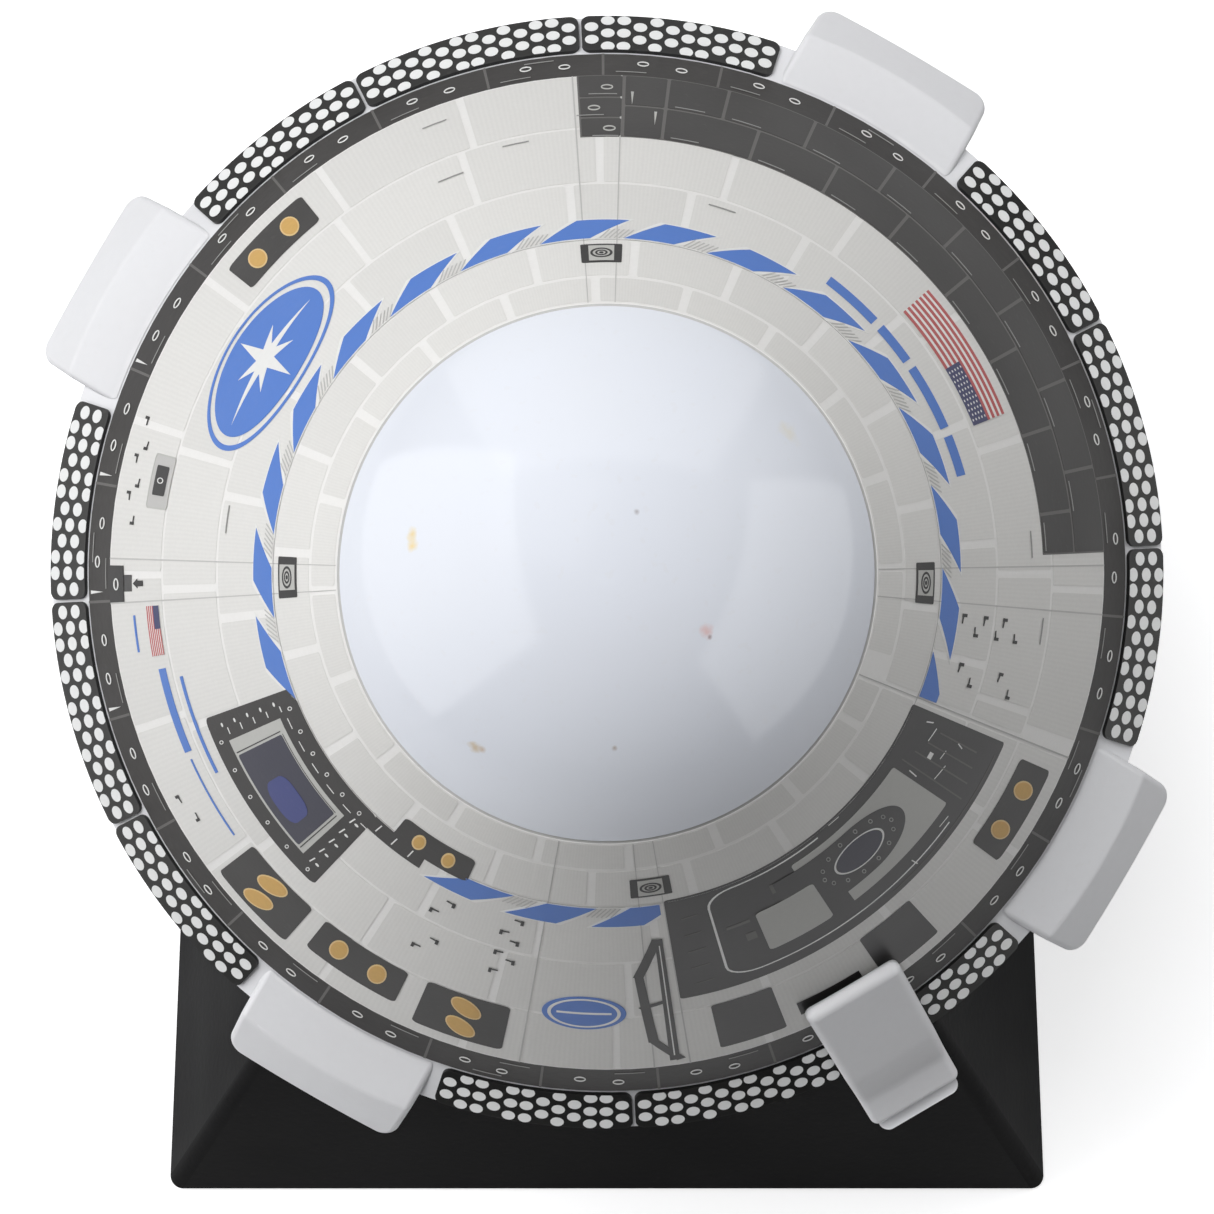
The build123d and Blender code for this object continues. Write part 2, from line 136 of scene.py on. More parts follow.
@dataclass(frozen=True)
class ConeFace:
    """A straight-sided face round the capsule's axis, read by angle and by slant from its lower edge."""

    radius: float
    height: float
    half_angle: float
    attitude: Attitude = Attitude()

    def radius_at(self, slant: float) -> float:
        """Radius of the face at a slant."""
        return self.radius - slant * math.sin(math.radians(self.half_angle))

    def degrees(self, length: float, slant: float) -> float:
        """Angle that a length round the face covers at a slant."""
        return math.degrees(length / self.radius_at(slant))

    def point(self, angle: float, slant: float, lift: float) -> Vector:
        """Place of a spot on the face.

        Args:
            angle: angle round the axis.
            slant: length up the face.
            lift: height over the face.

        Returns:
            The place in the room, in metres.
        """
        steep = math.radians(self.half_angle)
        turn = math.radians(angle)
        radius = self.radius_at(slant) + lift * math.cos(steep)
        height = self.height + slant * math.cos(steep) + lift * math.sin(steep)
        return self.attitude.matrix() @ Vector((radius * math.cos(turn), radius * math.sin(turn), height))

    def bar(self, patch: Patch) -> list[Shape]:
        """Patch with square corners, given as its two angles and two slants."""
        start, end, low, high = patch
        return [[(start, low), (end, low), (end, high), (start, high)]]

    def arc(self, middle: Spot, size: Spot, first: float, steps: int) -> Shape:
        """Quarter of an oval.

        Args:
            middle: the oval's middle.
            size: its half sizes, as an angle and a slant.
            first: the direction in which the quarter starts.
            steps: how many straight runs it has.

        Returns:
            Its points.
        """
        path: Shape = []
        for step in range(steps + 1):
            turn = math.radians(first + 90.0 * step / steps)
            path.append((middle[0] + size[0] * math.cos(turn), middle[1] + size[1] * math.sin(turn)))
        return path

    def rounded(self, patch: Patch, corner: float) -> list[Shape]:
        """Patch with rounded corners.

        Args:
            patch: its two angles and two slants.
            corner: radius of the corners.

        Returns:
            One convex shape.
        """
        start, end, low, high = patch
        wide = self.degrees(corner, (low + high) / 2)
        right = end - wide
        left = start + wide
        middles = ((right, low + corner), (right, high - corner), (left, high - corner), (left, low + corner))
        path: Shape = []
        for middle, first in zip(middles, (270.0, 0.0, 90.0, 180.0)):
            path.extend(self.arc(middle, (wide, corner), first, CORNER_STEPS))
        return [path]

    def disc(self, spot: Spot, radius: float, stretch: float = 1.0, turn: float = 0.0) -> list[Shape]:
        """Round or oval dot.

        Args:
            spot: its middle.
            radius: half of its size along the slant before turning.
            stretch: how much longer it is round the face.
            turn: how far it is turned on the face.

        Returns:
            One convex shape.
        """
        lean = math.radians(turn)
        path: Shape = []
        steps = DISC_STEPS if radius < LARGE_DISC else LARGE_DISC_STEPS
        for step in range(steps):
            way = math.tau * step / steps
            along = radius * stretch * math.cos(way)
            up = radius * math.sin(way)
            round_the_face = along * math.cos(lean) - up * math.sin(lean)
            slant = spot[1] + along * math.sin(lean) + up * math.cos(lean)
            path.append((spot[0] + self.degrees(round_the_face, spot[1]), slant))
        return [path]

    def ring(self, spot: Spot, radius: float, width: float) -> list[Shape]:
        """Round ring with an outer radius and a width of line."""
        return between(self.disc(spot, radius), self.disc(spot, radius - width))

    def facing_disc(self, spot: Spot, radius: float, stretch: float = 1.0, turn: float = 0.0) -> list[Shape]:
        """Dot that looks round, or as an even oval, from over the nose, as a mouth that opens that way does.

        Args:
            spot: its middle.
            radius: half of its height in that view before turning.
            stretch: how much longer it is round the face.
            turn: how far it is turned in that view.

        Returns:
            One convex shape.
        """
        flat = self.disc((0.0, 0.0), radius, stretch, turn)[0]
        wide = self.radius_at(0.0) / self.radius_at(spot[1])
        return [[(spot[0] + angle * wide, spot[1] + slant / NOSE_SQUEEZE) for angle, slant in flat]]

    def facing_ring(self, spot: Spot, radius: float, width: float, stretch: float = 1.0) -> list[Shape]:
        """Ring of an even width of line that looks round, or as an even oval, from over the nose."""
        inner = self.facing_disc(spot, radius - width, (radius * stretch - width) / (radius - width))
        return between(self.facing_disc(spot, radius, stretch), inner)

    def stroke(self, path: Sequence[Spot], width: float) -> list[Shape]:
        """Line of an even width along a path.

        Args:
            path: the points of the line.
            width: width of the line.

        Returns:
            Four-cornered pieces, one for each run of the line.
        """
        pieces: list[Shape] = []
        for here, there in zip(path, path[1:]):
            wide = math.radians(1.0) * self.radius_at((here[1] + there[1]) / 2)
            run = Vector(((there[0] - here[0]) * wide, there[1] - here[1]))
            side = Vector((-run.y, run.x)).normalized() * width / 2
            along = run.normalized() * width * STROKE_OVERLAP
            ends = ((here, -side - along), (there, along - side), (there, side + along), (here, side - along))
            pieces.append([(spot[0] + move.x / wide, spot[1] + move.y) for spot, move in ends])
        return pieces


def trimmed(shape: Shape, axis: Axis, bound: float, above: bool) -> Shape:
    """The part of a convex shape on one side of a line of constant angle or slant.

    Args:
        shape: the corners of the shape.
        axis: whether the line holds an angle or a slant.
        bound: the angle or slant of the line.
        above: whether the part with the greater values stays.

    Returns:
        The corners of that part, or fewer than three where nothing is left.
    """
    side = 1.0 if above else -1.0
    kept: Shape = []
    for here, there in zip(shape, shape[1:] + shape[:1]):
        first = side * (here[axis.value] - bound)
        second = side * (there[axis.value] - bound)
        if first >= 0.0:
            kept.append(here)
        if first * second < 0.0:
            share = first / (first - second)
            kept.append((here[0] + share * (there[0] - here[0]), here[1] + share * (there[1] - here[1])))
    return kept


class Wiring:
    """Adds and links the nodes of one shader tree."""

    def __init__(self, tree: Group) -> None:
        """Start with the tree emptied."""
        self.tree = tree
        tree.nodes.clear()

    def add(self, kind: str, inputs: dict[Any, Any] | None = None, **settings: Any) -> bpy.types.Node:
        """Add a node.

        Args:
            kind: the node's type without its first words.
            inputs: a value or another node's output for each input, by its name or place.
            settings: properties of the node.

        Returns:
            The node.
        """
        node = self.tree.nodes.new(f"ShaderNode{kind}")
        for key, value in settings.items():
            setattr(node, key, value)
        self.feed(node, inputs or {})
        return node

    def feed(self, node: bpy.types.Node, inputs: dict[Any, Any]) -> None:
        """Set or link inputs of a node.

        Args:
            node: the node.
            inputs: a value or another node's output for each input, by its name or place.
        """
        for key, value in inputs.items():
            if isinstance(value, Socket):
                self.tree.links.new(value, node.inputs[key])
            else:
                node.inputs[key].default_value = value

    def place(self, group: Group, **inputs: Any) -> Any:
        """Outputs of a node group that is added with its inputs set."""
        return self.add("Group", inputs, node_tree=group).outputs

    def math(self, operation: str, *values: Any) -> Socket:
        """Output of a sum on one, two or three values."""
        return self.add("Math", dict(enumerate(values)), operation=operation).outputs[0]

    def vectors(self, operation: str, *values: Any) -> Socket:
        """Number that comes out of a sum on one or two vectors."""
        return self.add("VectorMath", dict(enumerate(values)), operation=operation).outputs["Value"]

    def blend(self, share: Any, first: Any, second: Any, mode: str = "MIX") -> Socket:
        """Output of a mix of two colours."""
        inputs = {0: share, 6: first, 7: second}
        return self.add("Mix", inputs, data_type="RGBA", blend_type=mode).outputs[2]

    def spread(self, value: Any, low: float, high: float, first: Any, last: Any) -> Socket:
        """Output of a value stretched from one range to another, held at the ends."""
        inputs = {"Value": value, "From Min": low, "From Max": high, "To Min": first, "To Max": last}
        return self.add("MapRange", inputs).outputs["Result"]

    def object_place(self) -> Socket:
        """Place on the piece, in its own axes."""
        return self.add("TexCoord").outputs["Object"]

    def noise(self, scale: Any, detail: float) -> Socket:
        """Noise over the piece, from 0 to 1."""
        inputs = {"Vector": self.object_place(), "Scale": scale, "Detail": detail}
        return self.add("TexNoise", inputs).outputs["Fac"]

    def bump(self, height: Any, strength: float, depth: float) -> Socket:
        """Normal that follows a height of a given depth."""
        inputs = {"Height": height, "Strength": strength, "Distance": depth * MM}
        return self.add("Bump", inputs).outputs["Normal"]


class Effects:
    """The node groups that the finishes share, each built at its first use."""

    kinds = {"Colour": "NodeSocketColor", "Dust": "NodeSocketColor", "Place": "NodeSocketVector"}

    def begin(self, name: str, takes: Sequence[str], gives: Sequence[str]) -> tuple[Wiring, Any, Any]:
        """Open a new group.

        Args:
            name: the group's name.
            takes: the names of its inputs.
            gives: the names of its outputs.

        Returns:
            Its wiring, its input node's outputs and its output node.
        """
        tree = bpy.data.node_groups.new(name, "ShaderNodeTree")
        for way, sockets in (("INPUT", takes), ("OUTPUT", gives)):
            for socket in sockets:
                kind = self.kinds.get(socket, "NodeSocketFloat")
                tree.interface.new_socket(socket, in_out=way, socket_type=kind)
        wiring = Wiring(tree)
        inside = tree.nodes.new("NodeGroupInput")
        return wiring, inside.outputs, tree.nodes.new("NodeGroupOutput")

    @cache
    def grain(self) -> Group:
        """Fine speckle that darkens a colour and gives a height for the bump.

        Returns:
            The group.
        """
        names = ("Colour", "Scale", "Strength")
        wiring, given, out = self.begin("fine_grain", names, ("Colour", "Height"))
        noise = wiring.noise(given["Scale"], 3.0)
        share = wiring.math("MULTIPLY", noise, given["Strength"])
        dark = wiring.blend(1.0, given["Colour"], (0.45, 0.45, 0.45, 1.0), "MULTIPLY")
        wiring.feed(out, {"Colour": wiring.blend(share, given["Colour"], dark), "Height": noise})
        return wiring.tree

    @cache
    def blotches(self) -> Group:
        """Soft wide patches, as a mask and as a value between two ends.

        Returns:
            The group.
        """
        wiring, given, out = self.begin("soft_blotches", ("Scale", "Low", "High"), ("Mask", "Value"))
        mask = wiring.spread(wiring.noise(given["Scale"], 1.0), 0.25, 0.75, 0.0, 1.0)
        value = wiring.spread(mask, 0.0, 1.0, given["Low"], given["High"])
        wiring.feed(out, {"Mask": mask, "Value": value})
        return wiring.tree

    @cache
    def dust(self) -> Group:
        """Specks and a thin veil of dust on faces that look up.

        Returns:
            The group.
        """
        names = ("Colour", "Dust", "Amount")
        wiring, given, out = self.begin("settled_dust", names, ("Colour", "Mask"))
        facing = wiring.add("SeparateXYZ", {0: wiring.add("NewGeometry").outputs["Normal"]})
        upward = wiring.spread(facing.outputs["Z"], 0.0, 0.9, 0.15, 1.0)
        veil = wiring.spread(wiring.noise(60.0, 2.0), 0.4, 0.75, 0.1, 0.7)
        specks = wiring.spread(wiring.noise(900.0, 1.0), 0.66, 0.72, 0.0, 1.0)
        both = wiring.math("MAXIMUM", veil, specks)
        mask = wiring.math("MULTIPLY", wiring.math("MULTIPLY", both, upward), given["Amount"])
        wiring.feed(out, {"Colour": wiring.blend(mask, given["Colour"], given["Dust"]), "Mask": mask})
        return wiring.tree

    @cache
    def edges(self) -> Group:
        """Mask of the outer edges, broken up by noise; the edges it marks are lightened, partly as handling
        wear and partly as a painted edge highlight.

        Returns:
            The group.
        """
        wiring, given, out = self.begin("worn_and_highlit_edges", ("Width", "Amount"), ("Mask",))
        soft = wiring.add("Bevel", {"Radius": given["Width"]}, samples=6).outputs[0]
        agree = wiring.vectors("DOT_PRODUCT", soft, wiring.add("NewGeometry").outputs["Normal"])
        edge = wiring.spread(agree, 0.98, 0.80, 0.0, 1.0)
        broken = wiring.spread(wiring.noise(350.0, 4.0), 0.40, 0.62, 0.15, 1.0)
        mask = wiring.math("MULTIPLY", wiring.math("MULTIPLY", edge, broken), given["Amount"])
        wiring.feed(out, {"Mask": mask})
        return wiring.tree

    @cache
    def spot(self) -> Group:
        """Mask of one ragged stain round a place.

        Returns:
            The group.
        """
        wiring, given, out = self.begin("ragged_spot", ("Place", "Radius", "Strength"), ("Mask",))
        away = wiring.vectors("DISTANCE", wiring.object_place(), given["Place"])
        share = wiring.math("DIVIDE", away, given["Radius"])
        rough = wiring.spread(wiring.noise(700.0, 4.0), 0.3, 0.7, -0.4, 0.4)
        mask = wiring.spread(wiring.math("ADD", share, rough), 1.0, -0.1, 0.0, 1.0)
        wiring.feed(out, {"Mask": wiring.math("MULTIPLY", mask, given["Strength"])})
        return wiring.tree


EFFECTS = Effects()


class Finish:
    """A finish of one or more pieces: a material that is made at its first use.

    smooth and rough are the ends of its roughness, which changes softly over the surface.
    """

    name: str
    smooth: float
    rough: float
    gloss_scale: float
    dust: float
    dust_colour: Tint

    def material(self) -> bpy.types.Material:
        """Find the material by its name, or make it.

        Returns:
            The material.
        """
        found = bpy.data.materials.get(self.name)
        if found:
            return found
        made = bpy.data.materials.new(self.name)
        made.use_nodes = True
        wiring = Wiring(made.node_tree)
        wiring.add("OutputMaterial", {"Surface": self.surface(wiring)})
        return made

    def surface(self, wiring: Wiring) -> Socket:
        """Output of the finish's own shader, wired in a material's tree."""
        raise NotImplementedError

    def gloss(self, wiring: Wiring) -> Any:
        """Mask of soft patches, and the roughness that goes with them."""
        return wiring.place(EFFECTS.blotches(), Scale=self.gloss_scale, Low=self.smooth, High=self.rough)

    def close(self, wiring: Wiring, colour: Socket, inputs: dict[str, Any]) -> Socket:
        """Lay dust over a colour and end in the shader.

        Args:
            wiring: the wiring of the material.
            colour: the colour under the dust.
            inputs: the other inputs of the shader.

        Returns:
            The shader's output.
        """
        dust = display(self.dust_colour)
        dusty = wiring.place(EFFECTS.dust(), Colour=colour, Dust=dust, Amount=self.dust)
        return wiring.add("BsdfPrincipled", inputs | {"Base Color": dusty["Colour"]}).outputs[0]


@dataclass(frozen=True)
class PrintedInk(Finish):
    """One ink of the printed wrap under its clear film.

    variety darkens single shapes, as far as each one's own tone says. lines is the strength of the fine
    slanting lines that the print screen leaves.
    """

    name: str
    colour: Tint
    variety: float = 0.0
    lines: float = 0.0
    line_scale: float = 0.42
    grain: float = 0.12
    grain_scale: float = 1500.0
    grain_bump: Spot = (0.04, 0.2)
    smooth: float = 0.34
    rough: float = 0.44
    gloss_scale: float = 45.0
    dust: float = 0.02
    dust_colour: Tint = (205, 203, 198)
    specular: float = 0.22

    def surface(self, wiring: Wiring) -> Socket:
        """Wire the ink: grain, tone, screen lines, dust and an uneven gloss.

        Args:
            wiring: the wiring of the material.

        Returns:
            The shader's output.
        """
        base = display(self.colour)
        grain = wiring.place(EFFECTS.grain(), Colour=base, Scale=self.grain_scale, Strength=self.grain)
        colour = grain["Colour"]
        if self.variety:
            tone = wiring.add("Attribute", attribute_name="tone").outputs["Fac"]
            colour = wiring.blend(wiring.math("MULTIPLY", tone, self.variety), colour, BLACK)
        if self.lines:
            flat = wiring.add("Attribute", attribute_name="unrolled").outputs["Vector"]
            inputs = {"Vector": flat, "Scale": self.line_scale, "Distortion": 1.5, "Detail": 1.0}
            wave = wiring.add("TexWave", inputs).outputs["Fac"]
            colour = wiring.blend(wiring.math("MULTIPLY", wave, self.lines), colour, BLACK)
        inputs = {
            "Roughness": self.gloss(wiring)["Value"],
            "Normal": wiring.bump(grain["Height"], *self.grain_bump),
            "Specular IOR Level": self.specular,
        }
        return self.close(wiring, colour, inputs)


@dataclass(frozen=True)
class CastResin(Finish):
    """Painted or moulded shell: fine orange peel, faint blotches, lighter edges that are partly wear and
    partly a painted highlight, and a little dust.
    """

    name: str
    colour: Tint
    second: Tint
    # edge colour, lighter than the shell: partly wear, partly a painted edge highlight
    edge: Tint
    edge_width: float = 0.7
    edge_lightening: float = 0.3
    speckle: float = 0.06
    peel: float = 0.06
    peel_scale: float = 700.0
    peel_depth: float = 0.5
    smooth: float = 0.34
    rough: float = 0.46
    gloss_scale: float = 38.0
    dust: float = 0.15
    dust_colour: Tint = (196, 190, 180)
    metal: float = 0.0
    specular: float = 0.4

    def surface(self, wiring: Wiring) -> Socket:
        """Wire the shell: blotches of two colours, peel, lighter edges (wear and painted highlight) and dust.

        Args:
            wiring: the wiring of the material.

        Returns:
            The shader's output.
        """
        patches = self.gloss(wiring)
        base = wiring.blend(patches["Mask"], display(self.colour), display(self.second))
        grain = wiring.place(EFFECTS.grain(), Colour=base, Scale=self.peel_scale, Strength=self.speckle)
        # lighter edge colour: partly handling wear, partly a painted edge highlight
        lightened_edges = wiring.place(EFFECTS.edges(), Width=self.edge_width * MM, Amount=self.edge_lightening)
        edged = wiring.blend(lightened_edges["Mask"], grain["Colour"], display(self.edge))
        inputs = {
            "Roughness": patches["Value"],
            "Normal": wiring.bump(grain["Height"], self.peel, self.peel_depth),
            "Metallic": self.metal,
            "Specular IOR Level": self.specular,
        }
        return self.close(wiring, edged, inputs)


@dataclass(frozen=True)
class WhiteSweep(Finish):
    """White floor that the camera sees as bright as a lit backdrop, and sees through from below."""

    name: str = "studio_floor_white"
    colour: Tint = (243, 243, 244)
    grain: float = 0.02
    grain_scale: float = 200.0
    rough: float = 0.9
    near: float = 300.0
    far: float = 1500.0
    near_glow: float = 0.52
    far_glow: float = 1.0

    def surface(self, wiring: Wiring) -> Socket:
        """Wire the floor: matt white that glows for the camera, more so far from the model.

        Args:
            wiring: the wiring of the material.

        Returns:
            The shader's output.
        """
        base = display(self.colour)
        grain = wiring.place(EFFECTS.grain(), Colour=base, Scale=self.grain_scale, Strength=self.grain)
        seen = wiring.add("LightPath").outputs["Is Camera Ray"]
        away = wiring.vectors("LENGTH", wiring.object_place())
        glow = wiring.spread(away, self.near * MM, self.far * MM, self.near_glow, self.far_glow)
        inputs = {
            "Base Color": grain["Colour"],
            "Roughness": self.rough,
            "Specular IOR Level": 0.0,
            "Emission Color": WHITE,
            "Emission Strength": wiring.math("MULTIPLY", seen, glow),
        }
        sheet = wiring.add("BsdfPrincipled", inputs).outputs[0]
        under = wiring.add("NewGeometry").outputs["Backfacing"]
        clear = wiring.add("BsdfTransparent").outputs[0]
        return wiring.add("MixShader", {0: under, 1: sheet, 2: clear}).outputs[0]


@dataclass(frozen=True)
class Stain:
    """One old mark on the nose dome, in the capsule's own axes."""

    place: Triple
    radius: float
    strength: float
    colour: Tint


@dataclass(frozen=True)
class DomeGloss(Finish):
    """Gloss-white vacuum-formed dome with a few old glue and rust marks."""

    name: str = "dome_gloss_white"
    colour: Tint = (226, 230, 238)
    second: Tint = (223, 227, 236)
    ripple_scale: float = 160.0
    ripple_bump: Spot = (0.02, 1.0)
    smooth: float = 0.36
    rough: float = 0.44
    gloss_scale: float = 24.0
    coat: float = 0.8
    coat_rough: float = 0.11
    dust: float = 0.10
    dust_colour: Tint = (214, 210, 205)
    attitude: Attitude = Attitude()
    stains: tuple[Stain, ...] = (
        Stain((-20.8, 4.2, 73.8), 0.8, 0.9, (226, 203, 140)),
        Stain((-20.8, 3.0, 74.0), 0.8, 0.9, (230, 206, 140)),
        Stain((-14.2, -18.7, 72.1), 0.9, 0.9, (196, 170, 120)),
        Stain((-13.4, -18.9, 72.4), 0.5, 0.7, (190, 160, 120)),
        Stain((10.4, -6.0, 78.5), 1.0, 0.7, (222, 160, 150)),
        Stain((10.8, -6.6, 78.4), 0.35, 1.0, (120, 80, 76)),
        Stain((19.7, 15.3, 70.8), 1.6, 0.35, (226, 214, 176)),
        Stain((0.8, -18.4, 75.6), 0.4, 0.8, (160, 140, 120)),
        Stain((3.1, 6.5, 79.9), 0.35, 0.6, (140, 130, 130)),
    )

    def surface(self, wiring: Wiring) -> Socket:
        """Wire the dome: faint blotches, the stains and dust under a clear coat.

        Args:
            wiring: the wiring of the material.

        Returns:
            The shader's output.
        """
        patches = self.gloss(wiring)
        colour = wiring.blend(patches["Mask"], display(self.colour), display(self.second))
        for stain in self.stains:
            inputs = {
                "Place": self.attitude.matrix() @ Vector(stain.place),
                "Radius": stain.radius * MM,
                "Strength": stain.strength,
            }
            mask = wiring.place(EFFECTS.spot(), **inputs)["Mask"]
            colour = wiring.blend(mask, colour, display(stain.colour))
        ripple = wiring.place(EFFECTS.grain(), Scale=self.ripple_scale, Strength=0.0)
        inputs = {
            "Roughness": patches["Value"],
            "Normal": wiring.bump(ripple["Height"], *self.ripple_bump),
            "Specular IOR Level": 0.0,
            "Coat Weight": self.coat,
            "Coat Roughness": self.coat_rough,
        }
        return self.close(wiring, colour, inputs)


@dataclass(frozen=True)
class CellGlass(Finish):
    """Dark blue cell sheet under clear lacquer, ruled into cells with fine metal lines."""

    name: str = "cell_sheet_blue"
    cell: float = 6.0
    line: float = 0.35
    colour: Tint = (30, 44, 92)
    second: Tint = (38, 54, 108)
    line_colour: Tint = (150, 154, 160)
    grain: float = 0.25
    grain_scale: float = 900.0
    smooth: float = 0.14
    rough: float = 0.24
    gloss_scale: float = 70.0
    dust: float = 0.10
    dust_colour: Tint = (190, 188, 184)
    attitude: Attitude = Attitude()

    def surface(self, wiring: Wiring) -> Socket:
        """Wire the sheet: cells that lie square on the capsule's aft face, grain, dust and gloss.

        Args:
            wiring: the wiring of the material.

        Returns:
            The shader's output.
        """
        inputs = {"Vector": wiring.object_place(), "Angle": math.radians(-self.attitude.lean)}
        square = wiring.add("VectorRotate", inputs, rotation_type="X_AXIS").outputs[0]
        inputs = {
            "Vector": square,
            "Color1": display(self.colour),
            "Color2": display(self.second),
            "Mortar": display(self.line_colour),
            "Scale": 1.0,
            "Mortar Size": self.line * MM,
            "Brick Width": self.cell * MM,
            "Row Height": self.cell * MM,
        }
        cells = wiring.add("TexBrick", inputs, offset=0.0).outputs["Color"]
        grain = wiring.place(EFFECTS.grain(), Colour=cells, Scale=self.grain_scale, Strength=self.grain)
        return self.close(wiring, grain["Colour"], {"Roughness": self.gloss(wiring)["Value"]})


class Ink(Enum):
    """The inks of the printed wrap."""

    SEAM = PrintedInk("wrap_seam_pale", (236, 235, 233))
    BLANKET = PrintedInk("wrap_blanket_grey", (226, 225, 222), variety=0.05, lines=0.03)
    FOLD = PrintedInk("wrap_fold_grey", (190, 189, 187))
    HAIRLINE = PrintedInk("wrap_hairline_grey", (150, 150, 148))
    CHARCOAL = PrintedInk("wrap_charcoal", (47, 45, 44), variety=0.12)
    CHARCOAL_JOINT = PrintedInk("wrap_charcoal_joint", (92, 90, 88))
    SLATE = PrintedInk("wrap_slate", (64, 63, 63), variety=0.10)
    COAL = PrintedInk("wrap_coal", (38, 37, 37))
    CHALK = PrintedInk("wrap_chalk", (232, 232, 230))
    ASH = PrintedInk("wrap_ash", (186, 186, 182))
    BLUE = PrintedInk("wrap_blue", (74, 120, 200), grain=0.08)
    NAVY = PrintedInk("wrap_navy", (54, 57, 98))
    RED = PrintedInk("wrap_red", (186, 82, 82))
    GOLD = PrintedInk("wrap_gold", (210, 166, 88), grain=0.25)
    GOLD_PALE = PrintedInk("wrap_gold_pale", (226, 196, 138), grain=0.25)
    GLASS = PrintedInk("wrap_window_glass", (54, 54, 68))
    GLASS_GLOW = PrintedInk("wrap_window_glow", (58, 66, 124))
    DOT = PrintedInk("panel_dot_white", (230, 231, 231))


class Film:
    """Flat shapes of one ink, cut into narrow strips and wrapped onto a face as one thin closed mesh."""

    strip = 1.5
    thickness = 0.025

    def __init__(self, name: str, face: ConeFace, layer: Layer, ink: Ink) -> None:
        """Start an empty film.

        Args:
            name: the piece's name.
            face: the face that carries it.
            layer: its height over that face.
            ink: its ink.
        """
        self.name = name
        self.face = face
        self.layer = layer
        self.ink = ink
        self.shapes: list[tuple[Shape, float]] = []

    def lay(self, shapes: list[Shape], tone: float = 0.0) -> None:
        """Add convex shapes with one tone."""
        self.shapes.extend((shape, tone) for shape in shapes)

    def strips(self, shape: Shape) -> list[Shape]:
        """Cut a shape at even angles, so that it follows the curve of the face.

        Args:
            shape: a convex shape.

        Returns:
            Its parts, each no wider than one strip.
        """
        first = math.floor(min(spot[0] for spot in shape) / self.strip)
        last = math.ceil(max(spot[0] for spot in shape) / self.strip)
        parts = []
        for step in range(first, last):
            part = trimmed(shape, Axis.ANGLE, step * self.strip, True)
            part = trimmed(part, Axis.ANGLE, (step + 1) * self.strip, False)
            if len(part) > 2:
                parts.append(part)
        return parts

    def make(self, slot: str) -> None:
        """Build the mesh, dress it and let it ride on the model.

        Args:
            slot: the record's material slot that it goes with; it is not used.
        """
        net = bmesh.new()
        tones = net.faces.layers.float.new("tone")
        unrolled = net.verts.layers.float_vector.new("unrolled")
        for shape, tone in self.shapes:
            for part in self.strips(shape):
                turned = zip(part, part[1:] + part[:1])
                area = sum(a[0] * b[1] - b[0] * a[1] for a, b in turned)
                corners = part if area > 0.0 else part[::-1]
                points = []
                for angle, slant in corners:
                    point = net.verts.new(self.face.point(angle, slant, self.layer.value))
                    point[unrolled] = Vector((math.radians(angle) * self.face.radius, slant, 0.0))
                    points.append(point)
                net.faces.new(points)[tones] = tone
        bmesh.ops.remove_doubles(net, verts=net.verts, dist=1e-7)
        mesh = bpy.data.meshes.new(self.name)
        net.to_mesh(mesh)
        net.free()
        mesh.materials.append(self.ink.value.material())
        piece = bpy.data.objects.new(self.name, mesh)
        bpy.context.scene.collection.objects.link(piece)
        skin = piece.modifiers.new("film", "SOLIDIFY")
        skin.thickness = self.thickness * MM
        skin.offset = -1.0
        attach(piece, "root")
        LOG.info("%s: %d shapes", self.name, len(self.shapes))


@dataclass(frozen=True)
class CapsuleBody:
    """Sizes of the solids whose faces carry print."""

    rim_radius: float = 71.25
    nose_radius: float = 29.85
    cone_half_angle: float = 32.5
    rim_thickness: float = 2.0
    rim_reveal: float = 0.3
    flare_run: float = 5.8
    flare_fall: float = 3.2
    panel_top: float = 0.65
    module_length: float = 58.0

    def cone(self) -> ConeFace:
        """The straight outside of the crew cone and of the shoulder band under it."""
        return ConeFace(self.rim_radius, 0.0, self.cone_half_angle)

    def land(self) -> ConeFace:
        """The narrow flat edge of the cone round the dome, read inwards."""
        height = (self.rim_radius - self.nose_radius) / math.tan(math.radians(self.cone_half_angle))
        return ConeFace(self.nose_radius, height, 90.0)

    def panels(self) -> ConeFace:
        """The tops of the panels on the flare, read from the flare's outer edge inwards.

        Returns:
            The face.
        """
        slant = math.hypot(self.flare_run, self.flare_fall)
        radius = self.module_radius() + self.panel_top * self.flare_fall / slant
        height = -self.rim_thickness - self.flare_fall + self.panel_top * self.flare_run / slant
        return ConeFace(radius, height, math.degrees(math.atan2(self.flare_run, self.flare_fall)))

    def wall(self) -> ConeFace:
        """The round outside of the service module, read up from its aft edge."""
        return ConeFace(self.module_radius(), -self.rim_thickness - self.module_length, 0.0)

    def module_radius(self) -> float:
        """Radius of the service module's wall."""
        return self.rim_radius + self.rim_reveal + self.flare_run


@dataclass
class Printed:
    """One part of the print: films on one face, made in the order in which they are started."""

    face: ConeFace
    slot = "printed_wrap"

    def __post_init__(self) -> None:
        """Start with no films."""
        self.films: list[Film] = []

    def film(self, name: str, layer: Layer, ink: Ink) -> Film:
        """Start a film of a name, a layer and an ink."""
        self.films.append(Film(name, self.face, layer, ink))
        return self.films[-1]

    def draw(self) -> None:
        """Start the films and lay their shapes."""
        raise NotImplementedError

    def build(self) -> None:
        """Draw the films and make each of them a piece of the model."""
        self.draw()
        for film in self.films:
            film.make(self.slot)


